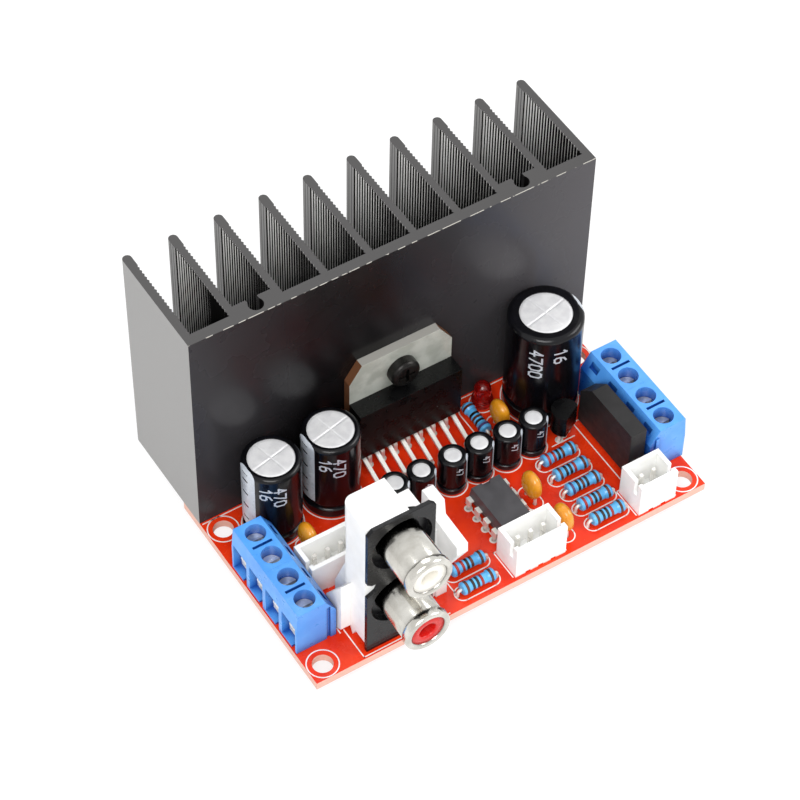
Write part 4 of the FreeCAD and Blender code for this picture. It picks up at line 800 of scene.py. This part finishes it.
@dataclass
class Board:
    """Printed marks and tinned pads on top; sizes in millimetres, places from the front left corner."""

    shop: Workshop
    line: float = 0.22
    ink_lift: float = 0.02
    pad_lift: float = 0.012
    pad_radius: float = 0.75
    row_pad: Point = (0.72, 0.5)
    lead_reach: float = 1.1
    can_margin: float = 0.22
    resistor_margins: Point = (1.05, 0.28)
    bead_margins: Point = (0.3, 0.25)
    lamp_margin: float = 0.3
    lamp_arc: Point = (40.0, 280.0)
    chip_margin: float = 0.35
    header_margin: float = 0.3
    hole_inset: float = 2.8
    hole_spacing: Point = (70.7, 31.5)
    hole_ring: float = 2.66
    dash: Triple = (48.2, 8.6, 9.4)
    dash_pitch: float = 1.4
    dash_count: int = 6
    runs: tuple[tuple[Point, ...], ...] = (
        ((0.4, 36.9), (75.9, 36.9)),
        ((64.7, 8.4), (64.7, 22.5), (69.4, 22.5)),
        ((58.9, 20.0), (63.4, 20.0)),
        ((25.4, 0.35), (9.1, 0.35), (9.1, 6.6)),
        ((28.3, 3.0), (28.3, 21.6)),
        ((47.7, 3.2), (47.7, 6.2)),
        ((8.3, 6.4), (8.3, 27.0)),
        ((68.4, 6.8), (68.4, 7.2)),
    )
    sheet_corner: Vector = field(init=False)
    top: float = field(init=False)
    marks: Sheet = field(init=False)

    def __post_init__(self) -> None:
        """Read the board's corner and its top from the frame, and start the sheet of marks."""
        self.sheet_corner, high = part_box("circuit_board")
        self.top = high.z
        self.marks = Sheet(self.top + self.ink_lift * MM)

    def spot(self, x: float, y: float) -> Point:
        """A place in millimetres from the board's corner, in metres in the part's frame."""
        return (self.sheet_corner.x + x * MM, self.sheet_corner.y + y * MM)

    def build(self) -> None:
        """Print the marks and lay the pads."""
        self.mark_holes()
        self.mark_parts()
        self.mark_lines()
        self.shop.piece("screen_printed_marks", self.marks.points, self.marks.faces, WHITE_INK)
        self.build_pads()

    def mark_holes(self) -> None:
        """Ring each mounting hole."""
        for x in (self.hole_inset, self.hole_inset + self.hole_spacing[0]):
            for y in (self.hole_inset, self.hole_inset + self.hole_spacing[1]):
                self.marks.arc(*self.spot(x, y), self.hole_ring * MM, self.line * MM)

    def mark_parts(self) -> None:
        """Outline the round, long and dipped parts."""
        width = self.line * MM
        for node in ("supply_capacitor_sleeve", "output_capacitor_sleeves", "small_capacitor_sleeves"):
            for can in loose_solids(node):
                self.marks.arc(can.middle.x, can.middle.y, can.size.x / 2 + self.can_margin * MM, width)
        for resistor in loose_solids("resistors"):
            self.stadium(resistor, *self.resistor_margins)
        for bead in loose_solids("ceramic_capacitors"):
            self.stadium(bead, *self.bead_margins)
        lamp = loose_solids("indicator_lens")[0]
        radius = lamp.size.x / 2 + self.lamp_margin * MM
        self.marks.arc(lamp.middle.x, lamp.middle.y, radius, width, *self.lamp_arc)
        low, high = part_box("preamp_chip_body")
        near = self.chip_margin * MM
        self.marks.path([(low.x - near, low.y - near), (high.x + near, low.y - near),
                         (high.x + near, high.y + near), (low.x - near, high.y + near)], width, True)
        near = self.header_margin * MM
        for node in ("left_header", "front_header", "right_header"):
            low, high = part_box(node)
            self.marks.path([(low.x - near, low.y + near), (low.x - near, high.y + near),
                             (high.x + near, high.y + near), (high.x + near, low.y + near)], width)

    def stadium(self, solid: Solid, long_margin: float, side_margin: float) -> None:
        """Outline a long part with round ends, along its longer side.

        Args:
            solid: the part to outline.
            long_margin: gap at its ends.
            side_margin: gap at its sides.
        """
        along = solid.along
        reach = solid.size[along] / 2 + long_margin * MM
        half = solid.size[1 - along] / 2 + side_margin * MM
        width = self.line * MM
        for sign in (-1, 1):
            centre = [solid.middle.x, solid.middle.y]
            centre[along] += sign * (reach - half)
            start = (90 if sign < 0 else -90) if along == 0 else (180 if sign < 0 else 0)
            self.marks.arc(*centre, half, width, start, 180)
            ends = [[solid.middle.x, solid.middle.y] for _ in range(2)]
            for end, way in zip(ends, (-1, 1)):
                end[along] += way * (reach - half)
                end[1 - along] += sign * half
            self.marks.line(tuple(ends[0]), tuple(ends[1]), width)

    def mark_lines(self) -> None:
        """Straight outlines beside the heatsink, the rectifier, the phono sockets and the terminals."""
        width = self.line * MM
        x, first, last = self.dash
        dashes = [((x, first + step * self.dash_pitch), (x, last + step * self.dash_pitch))
                  for step in range(self.dash_count)]
        for corners in (*self.runs, *dashes):
            self.marks.path([self.spot(*corner) for corner in corners], width)

    def build_pads(self) -> None:
        """Lay a tinned ring round each lead that shows."""
        pads = Sheet(self.top + self.pad_lift * MM)
        radius, width = (self.pad_radius * share * MM for share in self.row_pad)
        for node in ("amp_chip_leads", "regulator_leads", "bridge_rectifier_leads", "preamp_chip_leads"):
            for lead in self.feet(node):
                pads.arc(*lead, radius, width)
        self.shop.piece("tinned_pads", pads.points, pads.faces, TINNED)

    def feet(self, node: str) -> list[Point]:
        """Places where the leads of a node go through the board.

        Args:
            node: name of the CAD node.

        Returns:
            The middle of each lead.
        """
        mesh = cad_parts[node].data
        low_points = [vertex.co for vertex in mesh.vertices if vertex.co.z < 0.01 * MM]
        feet: list[list[Vector]] = []
        for point in low_points:
            near = next((foot for foot in feet if (foot[0] - point).length < self.lead_reach * MM), None)
            if near is None:
                feet.append([point])
            else:
                near.append(point)
        return [(sum(point.x for point in foot) / len(foot), sum(point.y for point in foot) / len(foot))
                for foot in feet]


# Longest straight piece of a stroke, and each digit's strokes in a box one unit high.
STROKE_PIECE_MM = 0.3
DIGIT_STROKES: dict[str, tuple[tuple[Point, ...], ...]] = {
    "0": (((0.15, 0.0), (0.45, 0.0), (0.6, 0.2), (0.6, 0.8), (0.45, 1.0), (0.15, 1.0), (0.0, 0.8),
           (0.0, 0.2), (0.15, 0.0)),),
    "1": (((0.1, 0.75), (0.35, 1.0), (0.35, 0.0)),),
    "4": (((0.4, 0.0), (0.4, 1.0), (0.0, 0.35), (0.6, 0.35)),),
    "6": (((0.5, 1.0), (0.15, 0.8), (0.0, 0.4), (0.0, 0.15), (0.15, 0.0), (0.45, 0.0), (0.6, 0.15),
           (0.6, 0.4), (0.45, 0.55), (0.05, 0.5)),),
    "7": (((0.0, 1.0), (0.6, 1.0), (0.2, 0.0)),),
}


def stroke_parts(digit: str, size: float, half: float) -> list[tuple[Vector, Vector, Vector]]:
    """Cut a digit's strokes into short pieces that can follow a curved sleeve.

    Args:
        digit: the digit to draw.
        size: its height in metres.
        half: half the stroke's width in metres.

    Returns:
        Start, end and sideways half width of each piece, in metres.
    """
    pieces = []
    for stroke in DIGIT_STROKES[digit]:
        for start, end in zip(stroke, stroke[1:]):
            first, last = Vector(start) * size, Vector(end) * size
            along = (last - first).normalized()
            first, last = first - along * half, last + along * half
            side = Vector((-along.y, along.x)) * half
            count = max(math.ceil((last - first).length / (STROKE_PIECE_MM * MM)), 1)
            stops = [first.lerp(last, number / count) for number in range(count + 1)]
            pieces += [(here, there, side) for here, there in zip(stops, stops[1:])]
    return pieces


@dataclass
class Can:
    """Stripe, numbers and vent of one kind of can; angles in degrees, sizes in millimetres."""

    name: str
    stripe_turn: float
    stripe_sweep: float
    vent_turn: float
    lip: float
    scored: bool
    print_size: float
    numbers: tuple[tuple[str, float], ...]


@dataclass
class Electrolytics:
    """Sleeve prints and can tops of the nine electrolytic capacitors."""

    shop: Workshop
    ink_lift: float = 0.02
    foot_gap: float = 3.4
    shoulder_share: float = 0.12
    gauge: float = 0.15
    bend_sweep: float = 78.0
    dash_height: float = 1.5
    stripe_steps: int = 12
    sign_steps: tuple[int, int] = (4, 8)
    dash_half: float = 0.13
    bend_steps: int = 6
    taper_steps: float = 6.4
    full_height: float = 17.0
    stroke_half: float = 0.08
    rings: int = 40
    spokes: int = 144
    vent_gap: float = 0.04
    vent_sink: float = 0.14
    vent_rise: float = 0.11
    vent_round: float = 0.4
    least_rise: float = 0.005
    lip_steps: int = 64
    lip_profile: tuple[Point, ...] = ((0.0, -0.12), (0.06, 0.0), (0.2, 0.05), (0.5, 0.04), (0.72, -0.08))
    score_width: float = 0.16
    score_depth: float = 0.1
    digit_step: float = 0.86

    def build(self) -> None:
        """Dress every can, from the big one to the small ones."""
        big = Can("supply_capacitor", stripe_turn=-6.0, stripe_sweep=44.0, vent_turn=12.0, lip=2.0,
                  scored=True, print_size=2.1, numbers=(("4700", -137.0), ("16", -100.0)))
        mid = Can("output_capacitor", stripe_turn=181.0, stripe_sweep=52.0, vent_turn=12.0, lip=1.05,
                  scored=True, print_size=1.9, numbers=(("470", -104.0), ("16", -131.0)))
        small = Can("small_capacitor", stripe_turn=-38.0, stripe_sweep=40.0, vent_turn=0.0, lip=1.0,
                    scored=False, print_size=1.15, numbers=(("47", -92.0),))
        for style, node in ((big, "supply_capacitor_sleeve"), (mid, "output_capacitor_sleeves"),
                            (small, "small_capacitor_sleeves")):
            for number, sleeve in enumerate(loose_solids(node), 1):
                self.stripe(style, sleeve, f"{style.name}_{number}_stripe")
                self.numbers(style, sleeve, f"{style.name}_{number}_numbers")
                self.vent(style, sleeve, f"{style.name}_{number}_vent")
                if not style.scored:
                    self.lip(style, sleeve, f"{style.name}_{number}_lip")

    def stripe(self, style: Can, sleeve: Solid, name: str) -> None:
        """Print the pale stripe with its row of minus signs left dark.

        Args:
            style: what this kind of can looks like.
            sleeve: the can's sleeve.
            name: the new piece's name.
        """
        radius = sleeve.size.x / 2 + self.ink_lift * MM
        scale = min(sleeve.size.z / (self.full_height * MM), 1.0)
        bottom = sleeve.low.z + self.foot_gap * scale * MM
        bend = self.shoulder_share * sleeve.size.x / 2 + self.gauge * MM
        top = sleeve.high.z - bend
        dash = self.dash_height * scale * MM
        rows = max(int((top - bottom) / (2 * dash)), 2)
        row_height = (top - bottom) / rows
        steps = self.stripe_steps
        points: list[Vector] = []
        faces: list[Face] = []
        levels = [bottom]
        for row in range(rows):
            middle = bottom + (row + 0.5) * row_height
            levels += [middle - self.dash_half * dash, middle + self.dash_half * dash]
        levels.append(top)
        profile = [(radius, level, 1.0) for level in levels]
        for part in range(1, self.bend_steps + 1):
            rise = math.radians(self.bend_sweep * part / self.bend_steps)
            taper = math.sqrt(1 - (part / self.taper_steps) ** 2)
            profile.append((radius - bend * (1 - math.cos(rise)), top + bend * math.sin(rise), taper))
        for reach, level, taper in profile:
            for step in range(steps + 1):
                turn = math.radians(style.stripe_turn + style.stripe_sweep * taper * (step / steps - 0.5))
                points.append(sleeve.around(reach, turn, level))
        for row in range(len(profile) - 1):
            for step in range(steps):
                if row % 2 == 1 and row < len(levels) and step in range(*self.sign_steps):
                    continue
                first = row * (steps + 1) + step
                faces.append((first, first + 1, first + steps + 2, first + steps + 1))
        self.shop.piece(name, points, faces, PRINTED_STRIPE, True)

    def numbers(self, style: Can, sleeve: Solid, name: str) -> None:
        """Print plain numbers that read down the sleeve, as strokes wrapped round it.

        Args:
            style: what this kind of can looks like.
            sleeve: the can's sleeve.
            name: the new piece's name.
        """
        radius = sleeve.size.x / 2 + self.ink_lift * MM
        size = style.print_size * MM
        half = self.stroke_half * size
        points: list[Vector] = []
        faces: list[Face] = []
        for number, turn in style.numbers:
            head = sleeve.high.z - self.shoulder_share * sleeve.size.x - 0.5 * size
            for place, digit in enumerate(number):
                for first, last, side in stroke_parts(digit, size, half):
                    base = len(points)
                    for corner in (first + side, first - side, last - side, last + side):
                        angle = math.radians(turn) + (corner.y - size / 2) / radius
                        height = head - place * self.digit_step * size - corner.x
                        points.append(sleeve.around(radius, angle, height))
                    faces.append((base, base + 1, base + 2, base + 3))
        self.shop.piece(name, points, faces, PRINTED_STRIPE)

    def vent(self, style: Can, sleeve: Solid, name: str) -> None:
        """Lay the can's pressed top, with crossed scores on the larger cans.

        Args:
            style: what this kind of can looks like.
            sleeve: the can's sleeve.
            name: the new piece's name.
        """
        reach = sleeve.size.x / 2 - (style.lip + self.vent_gap) * MM
        floor = sleeve.high.z - self.vent_sink * MM
        rings, spokes = self.rings, self.spokes
        points = [Vector((sleeve.middle.x, sleeve.middle.y, floor + self.rise(style, 0.0, 0.0, reach)))]
        for ring in range(1, rings + 1):
            for spoke in range(spokes):
                turn = 2 * math.pi * spoke / spokes
                x, y = (reach * ring / rings * part for part in (math.cos(turn), math.sin(turn)))
                height = floor + self.rise(style, x, y, reach)
                points.append(Vector((sleeve.middle.x + x, sleeve.middle.y + y, height)))
        faces: list[Face] = [(0, 1 + spoke, 1 + (spoke + 1) % spokes) for spoke in range(spokes)]
        for ring in range(rings - 1):
            for spoke in range(spokes):
                here = 1 + ring * spokes
                after = (spoke + 1) % spokes
                faces.append((here + spoke, here + spokes + spoke, here + spokes + after, here + after))
        self.shop.piece(name, points, faces, DRAWN_CAN, True)

    def lip(self, style: Can, sleeve: Solid, name: str) -> None:
        """Lay the sleeve's rolled lip over the rim of a small can.

        Args:
            style: what this kind of can looks like.
            sleeve: the can's sleeve.
            name: the new piece's name.
        """
        inner = sleeve.size.x / 2 - style.lip * MM
        profile = [(inner + out * MM, sleeve.high.z + rise * MM) for out, rise in self.lip_profile]
        points, faces = revolved(profile, self.lip_steps)
        centre = Vector((sleeve.middle.x, sleeve.middle.y, 0.0))
        self.shop.piece(name, [centre + point for point in points], faces, SLEEVE, True)

    def rise(self, style: Can, x: float, y: float, reach: float) -> float:
        """Height of the pressed top over its floor at a place from the can's axis.

        Args:
            style: what this kind of can looks like.
            x: place on X, from the axis.
            y: place on Y, from the axis.
            reach: radius of the vent, in metres.

        Returns:
            The height in metres.
        """
        edge = min((reach - math.hypot(x, y)) / (self.vent_round * MM), 1.0)
        height = self.vent_rise * MM * max(edge, 0.0) ** 0.5
        if style.scored:
            turn = math.radians(style.vent_turn)
            across = (x * math.cos(turn) + y * math.sin(turn), -x * math.sin(turn) + y * math.cos(turn))
            nearest = min(abs(part) for part in across)
            height -= self.score_depth * MM * math.exp(-((nearest / (self.score_width * MM)) ** 2))
        return max(height, self.least_rise * MM)


@dataclass
class Resistors:
    """Colour bands of the eight resistors, in millimetres from each body's middle."""

    shop: Workshop
    band: float = 0.5
    lift: float = 0.015
    end_radius: float = 1.15
    waist_radius: float = 0.95
    waist_reach: float = 1.9
    steps: int = 28
    places: tuple[float, ...] = (-2.35, -1.15, -0.3, 0.55, 2.3)
    codes: tuple[tuple[Finish, ...], ...] = (
        (BAND_BROWN, BAND_BLACK, BAND_BLACK, BAND_RED, BAND_BROWN),
        (BAND_RED, BAND_RED, BAND_BLACK, BAND_BROWN, BAND_BROWN),
        (BAND_VIOLET, BAND_BLACK, BAND_BROWN, BAND_BLACK, BAND_BROWN),
    )

    def build(self) -> None:
        """Paint the bands, one mesh for each colour."""
        meshes: dict[Finish, tuple[list[Vector], list[Face]]] = {}
        for number, body in enumerate(loose_solids("resistors")):
            for place, finish in zip(self.places, self.codes[number % len(self.codes)]):
                points, faces = meshes.setdefault(finish, ([], []))
                faces += woven(2, self.steps, len(points))
                points += self.ring(body, place)
        for finish, (points, faces) in meshes.items():
            self.shop.piece(f"resistor_bands_{finish.name.split()[0]}", points, faces, finish, True)

    def ring(self, body: Solid, place: float) -> list[Vector]:
        """Model one painted ring round a resistor's axis.

        Args:
            body: the resistor's box.
            place: the band's middle, from the body's.

        Returns:
            The points of the ring's two edges.
        """
        radius = (self.end_radius if abs(place) > self.waist_reach else self.waist_radius) + self.lift
        spots = []
        for side in (-0.5, 0.5):
            for step in range(self.steps):
                turn = 2 * math.pi * step / self.steps
                spot = body.middle.copy()
                spot[body.along] += (place + side * self.band) * MM
                spot[1 - body.along] += radius * math.cos(turn) * MM
                spot.z += radius * math.sin(turn) * MM
                spots.append(spot)
        return spots


@dataclass
class DippedCapacitors:
    """Rounded lens-shaped bodies of the four dipped capacitors, over their CAD solids."""

    shop: Workshop
    roundness: float = 2.35
    skirt: float = 0.32
    skirt_from: float = 0.15
    rings: int = 26
    steps: int = 40

    def build(self) -> None:
        """Model all four as one piece that stands for the CAD node."""
        points: list[Vector] = []
        faces: list[Face] = []
        for body in loose_solids("ceramic_capacitors"):
            start = len(points)
            points += [body.middle + spot for spot in self.lens(body)]
            faces += woven(self.rings + 1, self.steps, start)
        made = self.shop.piece("dipped_capacitor_bodies", points, faces, DIPPED_COAT, True)
        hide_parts("ceramic_capacitors")

    def lens(self, body: Solid) -> list[Vector]:
        """Points of one body, from its foot to its crown, drawn in where the coat runs down the leads.

        Args:
            body: the part's box.

        Returns:
            The points, from the body's middle.
        """
        half = body.size / 2
        spots = []
        for ring in range(self.rings + 1):
            rise = -math.cos(math.pi * ring / self.rings)
            width = max(1 - abs(rise) ** self.roundness, 0.0) ** (1 / self.roundness)
            narrow = 1 - self.skirt * max(-rise - self.skirt_from, 0.0)
            for step in range(self.steps):
                turn = 2 * math.pi * step / self.steps
                across = [math.copysign(abs(part) ** (2 / self.roundness), part)
                          for part in (math.cos(turn), math.sin(turn))]
                spots.append(Vector((half.x * width * narrow * across[0], half.y * width * narrow * across[1],
                                     half.z * rise)))
        return spots


@dataclass
class PhonoSockets:
    """Flat-faced inserts and rolled rims of the two phono sockets; sizes in millimetres."""

    shop: Workshop
    face_back: float = 0.34
    face_radius: float = 2.95
    hole_radius: float = 1.5
    hole_bevel: float = 0.25
    hole_depth: float = 9.0
    rim_radius: float = 0.6
    rim_length: float = 1.7
    rim_depth: float = 1.4
    rim_steps: int = 16
    barrel_radius: float = 3.86
    barrel_length: float = 11.2
    steps: int = 96

    def build(self) -> None:
        """Model both sockets' fronts."""
        for level, finish in (("upper", WHITE_INSERT), ("lower", RED_INSERT)):
            self.insert(level, finish)
            self.shell(level)

    def insert(self, level: str, finish: Finish) -> None:
        """Model a ring-faced insert with a round hole, in place of the CAD's.

        Args:
            level: upper or lower.
            finish: what it is made of.
        """
        face, hole = -self.face_back, self.hole_radius
        profile = [(self.face_radius + 0.2, face - 0.6), (self.face_radius, face),
                   (hole + self.hole_bevel, face), (hole + 0.07, face - 0.08), (hole, face - self.hole_bevel),
                   (hole - 0.1, -self.hole_depth), (0.02, -self.hole_depth - 0.2)]
        made = self.turned(f"phono_insert_{level}", profile, finish, level)
        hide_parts(f"jack_insert_{level}")

    def shell(self, level: str) -> None:
        """Model the drawn shell, with a step up to its rolled rim, in place of the CAD's.

        Args:
            level: upper or lower.
        """
        low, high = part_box(f"jack_shell_{level}")
        outer = (high.x - low.x) / 2 / MM
        bend = self.rim_radius
        back = -self.rim_length
        profile = [(self.barrel_radius, -self.barrel_length), (self.barrel_radius, back - 0.22),
                   (self.barrel_radius - 0.1, back - 0.1), (self.barrel_radius - 0.08, back),
                   (outer - 0.1, back + 0.12), (outer, back + 0.3)]
        for step in range(self.rim_steps + 1):
            turn = math.pi * step / self.rim_steps
            profile.append((outer - bend + bend * math.cos(turn), -bend + bend * math.sin(turn)))
        profile.append((outer - 2 * bend, -self.rim_depth))
        made = self.turned(f"phono_shell_{level}", profile, NICKEL, level)
        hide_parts(f"jack_shell_{level}")

    def turned(self, name: str, profile: list[Point], finish: Finish, level: str) -> bpy.types.Object:
        """Turn a profile of radius and place in front of the shell's rim round the socket's axis.

        Args:
            name: the new piece's name.
            profile: radius of each ring and its place in front of the rim.
            finish: what it is made of.
            level: upper or lower.

        Returns:
            The new piece.
        """
        points, faces = revolved([(radius * MM, place * MM) for radius, place in profile], self.steps)
        low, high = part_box(f"jack_shell_{level}")
        centre = (low + high) / 2
        placed = [Vector((centre.x + point.x, low.y - point.z, centre.z + point.y)) for point in points]
        return self.shop.piece(name, placed, faces, finish, True)


@dataclass
class Studio:
    """Camera of the photograph, soft lamps and a white floor; lengths in millimetres, angles in degrees."""

    place: Triple = (-170.15, -241.13, 390.88)
    azimuth: float = -33.37
    elevation: float = 50.84
    roll: float = 1.29
    lens: float = 131.74
    sensor: float = 36.0
    sky: float = 0.78
    lamps: tuple[tuple[str, Triple, float, float], ...] = (
        ("softbox_key", (-420.0, -520.0, 780.0), 520.0, 6.2),
        ("softbox_fill", (620.0, -260.0, 520.0), 420.0, 2.6),
        ("softbox_back", (120.0, 560.0, 620.0), 380.0, 1.4),
    )
    floor_reach: float = 3000.0
    paper: str = "#e6e6e6"
    seen_paper: str = "#8a8a8a"
    paper_glow: float = 0.78

    def build(self, floor_level: float) -> None:
        """Set up camera, world, lamps and floor.

        Args:
            floor_level: height of the floor in metres.
        """
        self.build_camera()
        self.build_world()
        for lamp in self.lamps:
            self.lamp(*lamp)
        self.build_floor(floor_level)
        bpy.context.scene.view_settings.view_transform = "Standard"

    def build_camera(self) -> None:
        """Place the camera where the photograph was taken from."""
        turn, rise, roll = (math.radians(angle) for angle in (self.azimuth, self.elevation, self.roll))
        back = Vector((math.sin(turn) * math.cos(rise), -math.cos(turn) * math.cos(rise), math.sin(rise)))
        right = Vector((math.cos(turn), math.sin(turn), 0))
        up = back.cross(right)
        rolled_right = right * math.cos(roll) + up * math.sin(roll)
        rolled_up = up * math.cos(roll) - right * math.sin(roll)
        data = bpy.data.cameras.new("camera")
        data.lens = self.lens
        data.sensor_width = self.sensor
        data.clip_start = 0.01
        camera = bpy.data.objects.new("camera", data)
        facing = Matrix((rolled_right, rolled_up, back)).transposed().to_4x4()
        camera.matrix_world = Matrix.Translation(Vector(self.place) * MM) @ facing
        bpy.context.scene.collection.objects.link(camera)
        bpy.context.scene.camera = camera

    def build_world(self) -> None:
        """Even sky light, with a plain white background for the camera and for reflections."""
        world = bpy.data.worlds.new("studio")
        bpy.context.scene.world = world
        world.use_nodes = True
        tree = world.node_tree
        tree.nodes.clear()
        sky, white = (add_node(tree, "ShaderNodeBackground",
                               {"Color": linear("#ffffff"), "Strength": strength})
                      for strength in (self.sky, 1.0))
        mixed = add_node(tree, "ShaderNodeMixShader", None, {
            0: self.seen(tree), 1: sky.outputs["Background"], 2: white.outputs["Background"]})
        add_node(tree, "ShaderNodeOutputWorld", None, {"Surface": mixed.outputs["Shader"]})

    def seen(self, tree: Tree) -> Socket:
        """One for rays that look at the background, straight or through a reflection or clear plastic.

        Args:
            tree: the node tree to add to.

        Returns:
            The share, which is 1 or 0.
        """
        path = add_node(tree, "ShaderNodeLightPath").outputs
        either = add_node(tree, "ShaderNodeMath", {".operation": "MAXIMUM"},
                          {0: path["Is Camera Ray"], 1: path["Is Glossy Ray"]})
        return add_node(tree, "ShaderNodeMath", {".operation": "MAXIMUM"},
                        {0: either.outputs["Value"], 1: path["Is Transmission Ray"]}).outputs["Value"]

    def lamp(self, name: str, place: Triple, width: float, power: float) -> None:
        """Hang one square softbox that faces the board.

        Args:
            name: the lamp's name.
            place: where it hangs.
            width: length of a side.
            power: light in watts.
        """
        data = bpy.data.lights.new(name, "AREA")
        data.shape = "SQUARE"
        data.size = width * MM
        data.energy = power
        lamp = bpy.data.objects.new(name, data)
        lamp.location = Vector(place) * MM
        lamp.rotation_euler = (-Vector(place)).to_track_quat("-Z", "Y").to_euler()
        bpy.context.scene.collection.objects.link(lamp)

    def build_floor(self, level: float) -> None:
        """Lay the white floor, which keeps a faint shadow and lets the underside be seen from below.

        Args:
            level: the floor's height in metres.
        """
        reach = self.floor_reach * MM
        mesh = bpy.data.meshes.new("floor")
        mesh.from_pydata([(x * reach, y * reach, level) for x, y in ((-1, -1), (1, -1), (1, 1), (-1, 1))],
                         [], [(0, 1, 2, 3)])
        floor = bpy.data.objects.new("floor", mesh)
        bpy.context.scene.collection.objects.link(floor)
        material = bpy.data.materials.new("white paper")
        material.use_nodes = True
        tree = material.node_tree
        tree.nodes.clear()
        paper = add_node(tree, "ShaderNodeBsdfDiffuse", {"Color": linear(self.paper)})
        seen = add_node(tree, "ShaderNodeBsdfDiffuse", {"Color": linear(self.seen_paper)})
        glow = add_node(tree, "ShaderNodeEmission", {"Color": linear("#ffffff"), "Strength": self.paper_glow})
        shown = add_node(tree, "ShaderNodeAddShader", None,
                         {0: seen.outputs["BSDF"], 1: glow.outputs["Emission"]})
        mixed = add_node(tree, "ShaderNodeMixShader", None, {
            0: self.seen(tree), 1: paper.outputs["BSDF"], 2: shown.outputs["Shader"]})
        side = add_node(tree, "ShaderNodeNewGeometry")
        clear = add_node(tree, "ShaderNodeBsdfTransparent")
        one_way = add_node(tree, "ShaderNodeMixShader", None, {
            0: side.outputs["Backfacing"], 1: mixed.outputs["Shader"], 2: clear.outputs["BSDF"]})
        add_node(tree, "ShaderNodeOutputMaterial", None, {"Surface": one_way.outputs["Shader"]})
        mesh.materials.append(material)


def main() -> None:
    """Build the looks in order, with the floor at the bottom of the CAD frame's box."""
    logging.basicConfig(level=logging.INFO, format="%(name)s %(message)s")
    shop = Workshop()
    for finish, nodes in CAD_FINISHES.items():
        for node in nodes:
            shop.dress(node, finish)
        log.info("%s on %d CAD nodes", finish.name, len(nodes))
    Board(shop).build()
    Electrolytics(shop).build()
    Resistors(shop).build()
    DippedCapacitors(shop).build()
    PhonoSockets(shop).build()
    Studio().build(cad_box[0].z)


if __name__ == "__main__":
    main()
